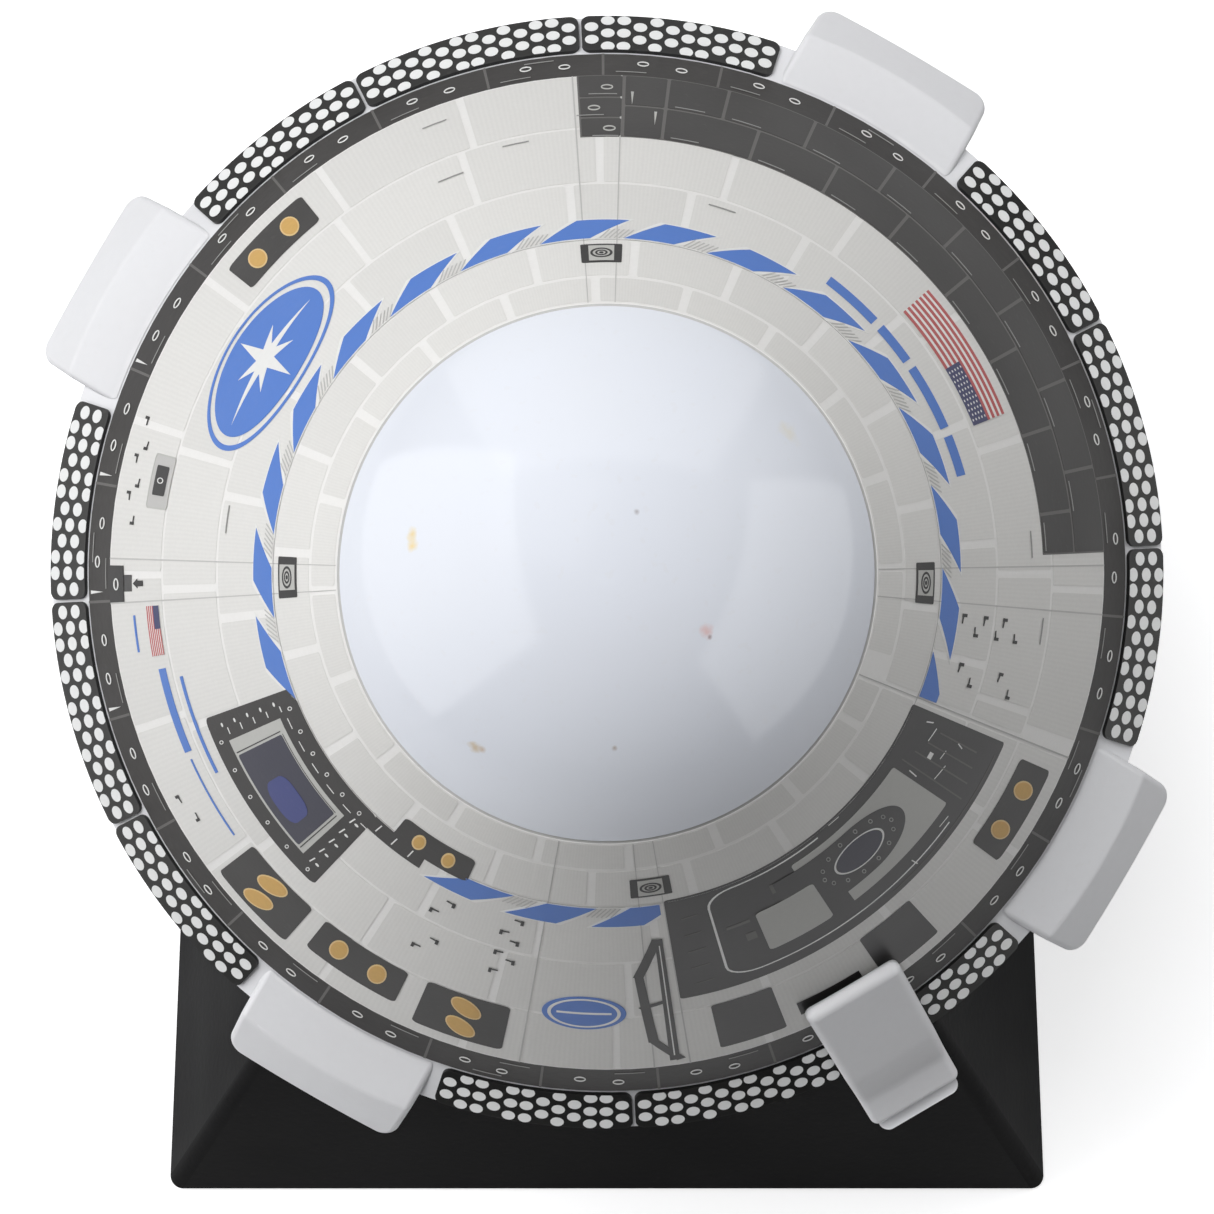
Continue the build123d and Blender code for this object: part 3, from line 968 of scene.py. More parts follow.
@dataclass
class BlanketSquares(Printed):
    """Quilted blanket squares printed in rows over the cone, with pale seams between them."""

    row_edges: Numbers = (8.3, 26.7, 44.2, 60.5, 70.4, 77.05)
    row_starts: Numbers = (107.3, 18.2, 22.8, 12.3, 19.5)
    pitch: float = 18.2
    most: int = 22
    seam: float = 1.0
    ring_seam: float = 0.75
    corner: float = 0.35

    def draw(self) -> None:
        """Lay the squares row by row between the two ends of the wrap."""
        film = self.film("blanket_squares", Layer.GROUND, Ink.BLANKET)
        for row, start in enumerate(self.row_starts):
            low = self.row_edges[row] + self.ring_seam / 2
            high = self.row_edges[row + 1] - self.ring_seam / 2
            gap = self.face.degrees(self.seam, (low + high) / 2) / 2
            for step in range(-self.most, self.most):
                begin = max(start + step * self.pitch, WRAP_END - 360.0) + gap
                end = min(start + (step + 1) * self.pitch, WRAP_END) - gap
                if end - begin > 4 * gap:
                    patch = (begin, end, low, high)
                    film.lay(self.face.rounded(patch, self.corner), scatter(row + 1.0, step))


@dataclass
class WrapLines(Printed):
    """Fine lines up the cone beside the four targets, at the wrap's ends and round one row."""

    angles: Numbers = (-4.7, 1.0, 88.3, 94.0, 178.2, 183.4, 275.5, 279.7, 259.8, WRAP_END)
    low: float = 8.4
    high: float = 76.9
    ring: float = 60.5
    width: float = 0.16

    def draw(self) -> None:
        """Lay every line as a thin bar."""
        film = self.film("wrap_lines", Layer.BLOCK, Ink.FOLD)
        for angle in self.angles:
            film.lay(self.face.stroke([(angle, self.low), (angle, self.high)], self.width))
        half = self.width / 2
        film.lay(self.face.bar((WRAP_END - 360.0, WRAP_END, self.ring - half, self.ring + half)))


@dataclass
class HeatTiles(Printed):
    """Two rows of dark tiles over a quarter of the rim, and three marked blocks at their end."""

    start: float = 2.5
    end: float = 93.5
    last_joint: float = 82.8
    block_start: float = 88.0
    low: float = 8.3
    split: float = 19.1
    high: float = 29.7
    pitch: float = 10.54
    most: int = 9
    least: float = 2.0
    inner_start: float = 7.8
    outer_start: float = 12.5
    corner: float = 0.3
    gap: float = 0.44
    ring_gap: float = 0.6
    joint_tone: float = 0.3
    block_tone: float = 0.6
    label: Patch = (-4.8, -1.1, -1.1, -0.85)
    block_label: Patch = (-1.2, 2.2, 2.3, 2.55)
    block_edges: Numbers = (8.3, 16.3, 23.3, 29.7)
    block_marks: Spots = ((90.0, 12.7), (91.6, 20.0), (89.7, 27.0))
    scratches: Spots = ((86.8, 14.2), (83.8, 20.6))
    scratch: Spots = ((0.0, 0.0), (0.35, 0.0), (0.15, 4.6))

    def draw(self) -> None:
        """Lay the joints as the ground, the tiles over them and the marks on top."""
        face = self.face
        ground = self.film("heat_tile_joints", Layer.BLOCK, Ink.CHARCOAL_JOINT)
        ground.lay(face.bar((self.start, self.end, self.low, self.high)))
        tiles = self.film("heat_tiles", Layer.DETAIL, Ink.CHARCOAL)
        marks = self.film("heat_tile_marks", Layer.MARK, Ink.ASH)
        labels = self.film("heat_tile_labels", Layer.MARK, Ink.HAIRLINE)
        rows = ((self.outer_start, self.low, self.split), (self.inner_start, self.split, self.high))
        for row, (first, low, high) in enumerate(rows):
            for step in range(-1, self.most):
                begin = max(first + step * self.pitch, self.start)
                end = first + (step + 1) * self.pitch
                if self.last_joint - end < self.least:
                    end = self.last_joint
                if end - begin > self.least:
                    tiles.lay(self.tile((begin, end, low, high)), scatter(row, step))
                    labels.lay(face.bar(shifted(self.label, end, high)))
            tiles.lay(self.tile((self.last_joint, self.block_start, low, high)), self.joint_tone)
        for low, high in zip(self.block_edges, self.block_edges[1:]):
            tiles.lay(self.tile((self.block_start, self.end, low, high)), self.block_tone)
        for angle, slant in self.block_marks:
            marks.lay(face.facing_ring((angle, slant), *RING_MARK))
            labels.lay(face.bar(shifted(self.block_label, angle, slant)))
        for angle, slant in self.scratches:
            marks.lay([[moved(spot, angle, slant) for spot in self.scratch]])

    def tile(self, patch: Patch) -> list[Shape]:
        """One tile, smaller than its place by the gap.

        Args:
            patch: the two angles and two slants of its place.

        Returns:
            One convex shape.
        """
        start, end, low, high = patch
        side = self.face.degrees(self.gap / 2, (low + high) / 2)
        inner = (start + side, end - side, low + self.ring_gap / 2, high - self.ring_gap / 2)
        return self.face.rounded(inner, self.corner)


@dataclass
class ShoulderMarks(Printed):
    """Segment lines, ring marks, dashes and a few spikes on the grey shoulder band under the wrap."""

    slot = "shield_grey"
    first: float = 11.0
    pitch: float = 13.24
    count: int = 27
    low: float = 0.25
    high: float = 8.0
    joint: float = 0.36
    ring_spots: Spots = ((0.33, 4.6), (0.66, 3.7))
    dash: Patch = (8.3, 11.8, -1.25, -1.0)
    low_dash: Patch = (5.5, 8.8, 1.5, 1.8)
    low_dash_every: int = 3
    spiked: Spot = (150.0, 200.0)
    spike: Spots = ((-1.1, 5.8), (-1.3, 1.15), (-0.9, 1.15))

    def draw(self) -> None:
        """Lay the marks segment by segment: a joint, two rings, dashes, and a spike on some."""
        face = self.face
        lines = self.film("shoulder_lines", Layer.GROUND, Ink.CHARCOAL_JOINT)
        marks = self.film("shoulder_marks", Layer.BLOCK, Ink.CHALK)
        dashes = self.film("shoulder_dashes", Layer.BLOCK, Ink.HAIRLINE)
        for step in range(self.count):
            start = self.first + step * self.pitch
            lines.lay(face.stroke([(start, self.low), (start, self.high)], self.joint))
            if self.spiked[0] < start < self.spiked[1]:
                marks.lay([[moved(spot, start, 0.0) for spot in self.spike]])
            for share, slant in self.ring_spots:
                marks.lay(face.facing_ring((start + share * self.pitch, slant), *RING_MARK))
            dashes.lay(face.bar(shifted(self.dash, start, self.high)))
            if step % self.low_dash_every == 0:
                dashes.lay(face.bar(shifted(self.low_dash, start, self.low)))


@dataclass
class StripeBelt(Printed):
    """Slanting blue stripes round the cone, each with a pale edge, and fine ticks between them."""

    low: float = 55.1
    high: float = 60.2
    length: float = 8.5
    skew: float = 6.5
    pitch: float = 14.35
    halo: float = 0.35
    halo_skew: float = 1.6
    runs: tuple[tuple[float, int, float], ...] = ((-14.05, 15, 210.0), (238.8, 3, 279.0))
    restart: float = 338.6
    restart_cut: float = 7.0
    tick_count: int = 6
    tick_pitch: float = 0.8
    tick: Spots = ((5.0, 57.8), (6.6, 60.1))
    tick_width: float = 0.16

    def stripe(self, start: float, grow: float) -> Shape:
        """One stripe, grown on all sides.

        Args:
            start: where its lower edge starts.
            grow: how far its edges move out.

        Returns:
            The four corners.
        """
        low = self.low - grow
        high = self.high + grow
        side = self.face.degrees(grow * self.halo_skew, self.low)
        lower = (start - side, start + self.length + side)
        upper = (start + self.skew - side, start + self.skew + self.length + side)
        return [(lower[0], low), (lower[1], low), (upper[1], high), (upper[0], high)]

    def draw(self) -> None:
        """Lay the stripes of every run, their pale edges and the ticks in the gaps after them."""
        pale = self.film("stripe_edges", Layer.BLOCK, Ink.CHALK)
        blue = self.film("stripes", Layer.DETAIL, Ink.BLUE)
        ticks = self.film("stripe_ticks", Layer.DETAIL, Ink.FOLD)
        for first, count, bound in self.runs:
            for step in range(count):
                start = first + step * self.pitch
                pale.lay([trimmed(self.stripe(start, self.halo), Axis.ANGLE, bound, False)])
                blue.lay([trimmed(self.stripe(start, 0.0), Axis.ANGLE, bound, False)])
                gap = start - self.pitch + self.length
                for tick in range(self.tick_count if step else 0):
                    path = [moved(spot, gap + tick * self.tick_pitch, 0.0) for spot in self.tick]
                    ticks.lay(self.face.stroke(path, self.tick_width))
        cut = self.stripe(self.restart - self.restart_cut, 0.0)
        blue.lay([trimmed(cut, Axis.ANGLE, self.restart, True)])


@dataclass
class DockingTargets(Printed):
    """Four square sighting targets on the upper cone."""

    spots: Spots = ((91.0, 64.3), (180.6, 64.5), (277.9, 65.3), (-1.6, 64.8))
    width: float = 4.7
    height: float = 4.9
    corner: float = 0.2
    middle: float = 0.62
    margin: float = 0.45
    rings: Spots = ((1.28, 0.28), (0.72, 0.24))
    dot: float = 0.26

    def draw(self) -> None:
        """Lay a dark plate, a pale middle, rings and a dot for each target."""
        plates = self.film("target_plates", Layer.DETAIL, Ink.COAL)
        pale = self.film("target_middles", Layer.MARK, Ink.ASH)
        rings = self.film("target_rings", Layer.TOP, Ink.COAL)
        for angle, slant in self.spots:
            half = self.face.degrees(self.width / 2, slant)
            low = slant - self.height / 2
            high = slant + self.height / 2
            plates.lay(self.face.rounded((angle - half, angle + half, low, high), self.corner))
            inner = half * self.middle
            pale.lay(self.face.bar((angle - inner, angle + inner, low + self.margin, high - self.margin)))
            for radius, width in self.rings:
                rings.lay(self.face.ring((angle, slant), radius, width))
            rings.lay(self.face.disc((angle, slant), self.dot))


@dataclass
class JetPanels(Printed):
    """Dark rounded panels with gold jet mouths, some round and some seen aslant.

    A pair of round mouths is two angles, a slant and a radius. A slanted pair is an angle, two slants and
    a turn.
    """

    panels: Patches = (
        (129.0, 141.2, 12.7, 23.6),
        (217.5, 228.7, 11.3, 26.3),
        (231.0, 243.6, 14.9, 26.3),
        (246.3, 257.5, 11.6, 26.7),
        (230.5, 245.5, 59.2, 65.6),
        (323.7, 336.0, 12.7, 24.0),
    )
    round_pairs: tuple[Numbers, ...] = (
        (132.4, 137.9, 18.4, 1.3),
        (234.5, 240.1, 20.9, 1.3),
        (235.0, 241.0, 62.3, 0.82),
        (327.0, 332.5, 18.4, 1.3),
    )
    slanted_pairs: tuple[Numbers, ...] = ((223.0, 15.6, 22.4, 16.0), (252.0, 15.9, 22.6, -16.0))
    slanted_rim: Spot = (1.05, 2.15)
    slanted_face: Spot = (0.87, 2.35)
    corner: float = 0.9
    rim: float = 0.2

    def draw(self) -> None:
        """Lay the panels, then each mouth as a pale rim with a gold face in it."""
        panels = self.film("jet_panels", Layer.DETAIL, Ink.CHARCOAL)
        rims = self.film("jet_rims", Layer.MARK, Ink.GOLD_PALE)
        mouths = self.film("jet_mouths", Layer.TOP, Ink.GOLD)
        for step, patch in enumerate(self.panels):
            panels.lay(self.face.rounded(patch, self.corner), scatter(step, 9.0))
        for left, right, slant, radius in self.round_pairs:
            for angle in (left, right):
                rims.lay(self.face.facing_disc((angle, slant), radius))
                mouths.lay(self.face.facing_disc((angle, slant), radius - self.rim))
        for angle, lower, upper, turn in self.slanted_pairs:
            for slant in (lower, upper):
                rims.lay(self.face.facing_disc((angle, slant), *self.slanted_rim, turn))
                mouths.lay(self.face.facing_disc((angle, slant), *self.slanted_face, turn))


@dataclass
class CrewWindow(Printed):
    """Printed side window: a dark surround with small fixings, a pale stepped frame and deep glass."""

    surround: Patch = (199.8, 226.6, 32.5, 60.2)
    surround_corner: float = 0.9
    tail: Patch = (226.4, 237.4, 56.2, 60.2)
    frame: Patch = (203.8, 222.6, 37.2, 54.0)
    glass: Patch = (206.2, 221.3, 37.9, 52.4)
    glass_corner: float = 0.4
    glow: Patch = (211.6, 218.8, 40.2, 47.8)
    glow_corner: float = 2.2
    step_away: float = 0.36
    step_line: float = 0.14
    fixing: Spot = (0.25, 0.09)
    fixing_pitch: float = 4.2
    row_count: int = 6
    upper_first: Spot = (3.2, -2.6)
    lower_first: Spot = (3.8, 2.2)
    dash_first: Patch = (4.5, 6.4, -4.4, -4.2)
    column_count: int = 5
    left_dot: Triple = (1.6, 4.5, 0.28)
    left_dash: Patch = (2.2, 3.2, 5.7, 5.95)
    right_dot: Triple = (-1.5, 5.3, 0.3)
    right_line: Spots = ((-2.6, 4.5), (-2.4, 6.3))
    right_width: float = 0.18
    tick_count: int = 3
    tick_pitch: float = 3.4
    tick: Spots = ((228.0, 57.2), (228.2, 59.4))
    tick_width: float = 0.16

    def draw(self) -> None:
        """Lay the surround, the frame, the glass and the small fixings."""
        dark = self.film("window_surround", Layer.BLOCK, Ink.CHARCOAL)
        dark.lay(self.face.rounded(self.surround, self.surround_corner))
        dark.lay(self.face.bar(self.tail))
        self.film("window_frame", Layer.DETAIL, Ink.ASH).lay(self.face.bar(self.frame))
        glass = self.face.rounded(self.glass, self.glass_corner)
        self.film("window_glass", Layer.MARK, Ink.GLASS).lay(glass)
        glow = self.face.rounded(self.glow, self.glow_corner)
        self.film("window_glow", Layer.TOP, Ink.GLASS_GLOW).lay(glow)
        self.frame_steps()
        self.fixings()

    def frame_steps(self) -> None:
        """Lay the fine dark lines of the frame's steps beside three sides of the glass."""
        film = self.film("window_frame_steps", Layer.MARK, Ink.CHARCOAL)
        start, end, low, high = self.glass
        for angle, away in ((start, -self.step_away), (end, self.step_away)):
            lower = angle + self.face.degrees(away, low)
            upper = angle + self.face.degrees(away, high)
            film.lay(self.face.stroke([(lower, low), (upper, high)], self.step_line))
        line = high + self.step_away
        half = self.step_line / 2
        film.lay(self.face.bar((start, end, line - half, line + half)))

    def fixings(self) -> None:
        """Lay the ring-shaped fixings, dots and short lines round the frame and on the tail."""
        film = self.film("window_fixings", Layer.DETAIL, Ink.CHALK)
        face = self.face
        start, end, low, high = self.surround
        for step in range(self.row_count):
            angle = start + self.fixing_pitch * step
            film.lay(face.facing_ring(moved(self.upper_first, angle, high), *self.fixing))
            film.lay(face.facing_ring(moved(self.lower_first, angle, low), *self.fixing))
            film.lay(face.bar(shifted(self.dash_first, angle, high)))
        for step in range(self.column_count):
            slant = low + self.fixing_pitch * step
            film.lay(face.bar(shifted(self.left_dash, start, slant)))
            film.lay(face.disc(moved(self.left_dot, start, slant), self.left_dot[2]))
            film.lay(face.disc(moved(self.right_dot, end, slant), self.right_dot[2]))
            film.lay(face.stroke([moved(spot, end, slant) for spot in self.right_line], self.right_width))
        for step in range(self.tick_count):
            angle = self.tick_pitch * step
            film.lay(face.stroke([moved(spot, angle, 0.0) for spot in self.tick], self.tick_width))


@dataclass
class SideHatch(Printed):
    """Printed crew hatch: a dark field, a pale rounded seal line, two pale plates and a round window."""

    field: Patch = (279.8, 337.0, 31.0, 61.0)
    field_tone: float = 0.6
    corner: float = 0.5
    seal_start: float = 286.9
    seal_edges: Spot = (34.0, 59.5)
    seal_ends: Spot = (324.0, 308.5)
    seal_corner: float = 3.6
    seal_steps: int = 6
    seal_line: float = 0.3
    seal_tag: Patch = (330.0, 331.2, 49.4, 50.6)
    left_plate: Patch = (293.5, 303.6, 38.1, 50.0)
    left_corner: float = 0.7
    right_plate: Patch = (302.2, 326.0, 38.1, 57.4)
    well_start: float = 298.0
    well_middle: Spot = (312.6, 48.6)
    well_radius: float = 7.0
    notch_end: float = 307.2
    notch_overlaps: Spot = (0.4, 0.1)
    window: Spot = (312.3, 48.7)
    window_radius: float = 3.8
    window_line: float = 0.27
    glass_inset: float = 0.4
    bolt_count: int = 14
    bolt_away: float = 1.6
    bolt: Spot = (0.26, 0.1)
    fleck_line: float = 0.16
    flecks: tuple[Spots, ...] = (
        ((332.6, 52.6), (334.8, 52.0)),
        ((335.2, 55.4), (335.5, 53.6)),
        ((334.2, 44.2), (333.8, 42.6)),
        ((331.0, 47.0), (332.4, 46.6)),
        ((328.0, 45.4), (330.4, 44.6)),
        ((327.0, 53.0), (326.8, 50.4)),
        ((322.8, 35.6), (324.6, 35.4)),
        ((316.8, 35.4), (317.0, 33.4)),
        ((311.4, 60.2), (313.6, 60.1)),
    )
    left_count: int = 5
    left_line: Spots = ((282.2, 35.0), (284.8, 35.3))
    left_pitch: float = 5.0
    left_width: float = 0.22
    right_count: int = 4
    right_line: Spots = ((327.6, 35.0), (327.9, 56.5))
    right_pitch: float = 2.2
    right_tapers: Spot = (1.0, -2.0)
    right_width: float = 0.18
    grooves: Patches = (
        (288.6, 292.4, 48.4, 49.2),
        (291.0, 292.6, 43.2, 45.4),
        (297.4, 298.0, 53.0, 55.6),
        (312.0, 335.0, 32.2, 32.4),
    )

    def draw(self) -> None:
        """Lay the field, the plates, the well, the seal line, the window and the small marks."""
        field = self.face.rounded(self.field, self.corner)
        self.film("hatch_field", Layer.BLOCK, Ink.SLATE).lay(field, self.field_tone)
        plate = self.face.rounded(self.right_plate, self.corner)
        self.film("hatch_plates", Layer.DETAIL, Ink.ASH).lay(plate)
        self.well()
        plate = self.face.rounded(self.left_plate, self.left_corner)
        self.film("hatch_left_plate", Layer.TOP, Ink.ASH).lay(plate)
        seal = self.film("hatch_seal", Layer.DETAIL, Ink.CHALK)
        seal.lay(self.face.stroke(self.seal_path(), self.seal_line))
        seal.lay(self.face.bar(self.seal_tag))
        for path in self.flecks:
            seal.lay(self.face.stroke(path, self.fleck_line))
        ring = self.face.ring(self.window, self.window_radius, self.window_line)
        self.film("hatch_window_ring", Layer.TOP, Ink.CHALK).lay(ring)
        glass = self.face.disc(self.window, self.window_radius - self.glass_inset)
        self.film("hatch_glass", Layer.TOP, Ink.GLASS).lay(glass)
        self.fine_lines()
        self.bolts()

    def well(self) -> None:
        """Lay the dark well round the window, with a round end and a notch under it."""
        film = self.film("hatch_well", Layer.MARK, Ink.SLATE)
        angle, slant = self.well_middle
        low = slant - self.well_radius
        film.lay(self.face.disc(self.well_middle, self.well_radius), self.field_tone)
        film.lay(self.face.bar((self.well_start, angle, low, slant + self.well_radius)), self.field_tone)
        foot = self.right_plate[2] - self.notch_overlaps[0]
        notch = (self.well_start, self.notch_end, foot, low + self.notch_overlaps[1])
        film.lay(self.face.bar(notch), self.field_tone)

    def seal_path(self) -> Shape:
        """Run of the seal line: from its upper end, round the left corners, to its lower end.

        Returns:
            The points of the line.
        """
        low, high = self.seal_edges
        lower_end, upper_end = self.seal_ends
        corner = self.seal_corner
        wide = self.face.degrees(corner, (low + high) / 2)
        middle = self.seal_start + wide
        upper = self.face.arc((middle, high - corner), (wide, corner), 90.0, self.seal_steps)
        lower = self.face.arc((middle, low + corner), (wide, corner), 180.0, self.seal_steps)
        return [(upper_end, high)] + upper + lower + [(lower_end, low)]

    def fine_lines(self) -> None:
        """Lay the short panel lines at both ends of the hatch and along its two long edges."""
        film = self.film("hatch_fine_lines", Layer.DETAIL, Ink.CHARCOAL_JOINT)
        for step in range(self.left_count):
            path = [moved(spot, 0.0, self.left_pitch * step) for spot in self.left_line]
            film.lay(self.face.stroke(path, self.left_width))
        for step in range(self.right_count):
            ends = zip(self.right_line, self.right_tapers)
            path = [moved(spot, self.right_pitch * step, taper * step) for spot, taper in ends]
            film.lay(self.face.stroke(path, self.right_width))
        for patch in self.grooves:
            film.lay(self.face.bar(patch))

    def bolts(self) -> None:
        """Lay a ring of small bolts round the hatch's window."""
        film = self.film("hatch_bolts", Layer.TOP, Ink.HAIRLINE)
        away = self.window_radius + self.bolt_away
        for step in range(self.bolt_count):
            turn = math.tau * step / self.bolt_count
            slant = self.window[1] + away * math.sin(turn)
            angle = self.window[0] + self.face.degrees(away * math.cos(turn), slant)
            film.lay(self.face.facing_ring((angle, slant), *self.bolt))


@dataclass
class SmallFittings(Printed):
    """Plain covers, a camera plate, a pointer, a painted shadow under the umbilical cover, the hand rail,
    small hooks and label dashes.
    """

    covers: Patches = ((283.5, 291.7, 11.6, 26.7), (304.6, 312.8, 11.6, 26.7))
    cover_tone: float = 0.2
    # painted shadow under the umbilical cover's forward end, over a printed dark patch
    cover_shade: Patch = (293.8, 302.4, 13.8, 18.1)
    camera: Patch = (165.0, 171.7, 19.8, 26.7)
    camera_dark: Patch = (166.3, 170.1, 21.2, 25.3)
    camera_edge: float = 0.22
    lens: Spot = (168.2, 23.2)
    lens_ring: Spot = (0.4, 0.12)
    corner: float = 0.5
    dark_corner: float = 0.3
    pointer: Patch = (179.0, 183.3, 8.4, 13.5)
    pointer_step: Patch = (180.1, 182.1, 13.5, 16.3)
    pointer_mark: Spot = (181.2, 10.8)
    arrow_head: Spots = ((181.15, 16.8), (181.75, 18.4), (180.55, 18.4))
    arrow_shaft: Patch = (180.8, 181.5, 18.4, 20.3)
    rails: tuple[tuple[float, Spots], ...] = (
        (1.25, ((278.6, 10.9), (275.7, 18.1), (274.5, 39.9), (277.6, 50.2))),
        (1.15, ((278.0, 10.9), (278.0, 50.2))),
        (0.9, ((274.6, 29.6), (278.0, 31.2))),
    )
    rail_tone: float = 0.3
    gleam: Spots = ((278.0, 12.4), (278.0, 48.6))
    gleam_width: float = 0.16
    hook_columns: tuple[tuple[float, Numbers], ...] = (
        (242.3, (35.4, 47.6)),
        (253.5, (37.1, 43.0, 49.3)),
        (342.8, (35.3, 47.6)),
        (350.5, (37.1, 43.0, 49.3)),
    )
    hook_step: Spot = (2.9, 3.9)
    hook_reach: float = 0.9
    hook_half: float = 0.55
    hook_line: float = 0.4
    arm_rises: Spot = (0.3, 0.5)
    arm_line: float = 0.34
    low_hooks: Numbers = (161.2, 165.8, 170.3, 207.4)
    low_hook_slant: float = 13.0
    low_hook_step: Spot = (3.6, 2.5)
    dash_half: float = 1.7
    dash_line: float = 0.32
    dashes: Spots = (
        (4.0, 33.3),
        (72.5, 46.7),
        (102.0, 29.0),
        (111.5, 33.3),
        (111.0, 14.5),
        (171.8, 46.4),
        (352.5, 29.0),
    )

    def draw(self) -> None:
        """Lay the covers and plates first, then the lines and marks."""
        face = self.face
        covers = self.film("plain_covers", Layer.BLOCK, Ink.SLATE)
        for patch in self.covers:
            covers.lay(face.rounded(patch, self.corner), self.cover_tone)
        covers.lay(face.bar(self.pointer_step))
        dark = self.film("small_dark_plates_and_shade", Layer.MARK, Ink.COAL)
        dark.lay(face.rounded(self.camera_dark, self.dark_corner))
        dark.lay([list(self.arrow_head)])
        # the dark film also carries the painted shadow under the umbilical cover
        for patch in (self.cover_shade, self.pointer, self.arrow_shaft):
            dark.lay(face.bar(patch))
        plate = face.rounded(self.camera, self.corner)
        self.film("small_pale_plates", Layer.BLOCK, Ink.FOLD).lay(plate)
        edge = face.stroke(plate[0] + plate[0][:1], self.camera_edge)
        self.film("camera_plate_edge", Layer.DETAIL, Ink.ASH).lay(edge)
        marks = self.film("small_pale_marks", Layer.TOP, Ink.CHALK)
        marks.lay(face.facing_ring(self.pointer_mark, *RING_MARK))
        marks.lay(face.facing_ring(self.lens, *self.lens_ring))
        marks.lay(face.stroke(self.gleam, self.gleam_width))
        rail = self.film("hand_rail", Layer.MARK, Ink.SLATE)
        for width, path in self.rails:
            rail.lay(face.stroke(path, width), self.rail_tone)
        self.hooks()
        dashes = self.film("label_dashes", Layer.MARK, Ink.HAIRLINE)
        for angle, slant in self.dashes:
            half = face.degrees(self.dash_half, slant)
            low = slant - self.dash_line / 2
            dashes.lay(face.bar((angle - half, angle + half, low, low + self.dash_line)))

    def hooks(self) -> None:
        """Lay the hooks in their two squares and the loose ones near the rim, each with its mirrored mate."""
        film = self.film("small_hooks", Layer.MARK, Ink.COAL)
        pairs = []
        for angle, slants in self.hook_columns:
            pairs.extend(((angle, slant), self.hook_step) for slant in slants)
        pairs.extend(((angle, self.low_hook_slant), self.low_hook_step) for angle in self.low_hooks)
        for (angle, slant), (across, up) in pairs:
            film.lay(self.hook((angle, slant), 1.0))
            film.lay(self.hook((angle + across, slant + up), -1.0))

    def hook(self, spot: Spot, way: float) -> list[Shape]:
        """One hook.

        Args:
            spot: its heel.
            way: the side that it opens to, 1 or -1.

        Returns:
            Its upright and its arm.
        """
        angle, slant = spot
        half = self.hook_half
        upright = self.face.stroke([(angle, slant - half), (angle, slant + half)], self.hook_line)
        tip = angle + self.face.degrees(self.hook_reach, slant) * way
        heel, end = (slant + rise for rise in self.arm_rises)
        return upright + self.face.stroke([(angle, heel), (tip, end)], self.arm_line)


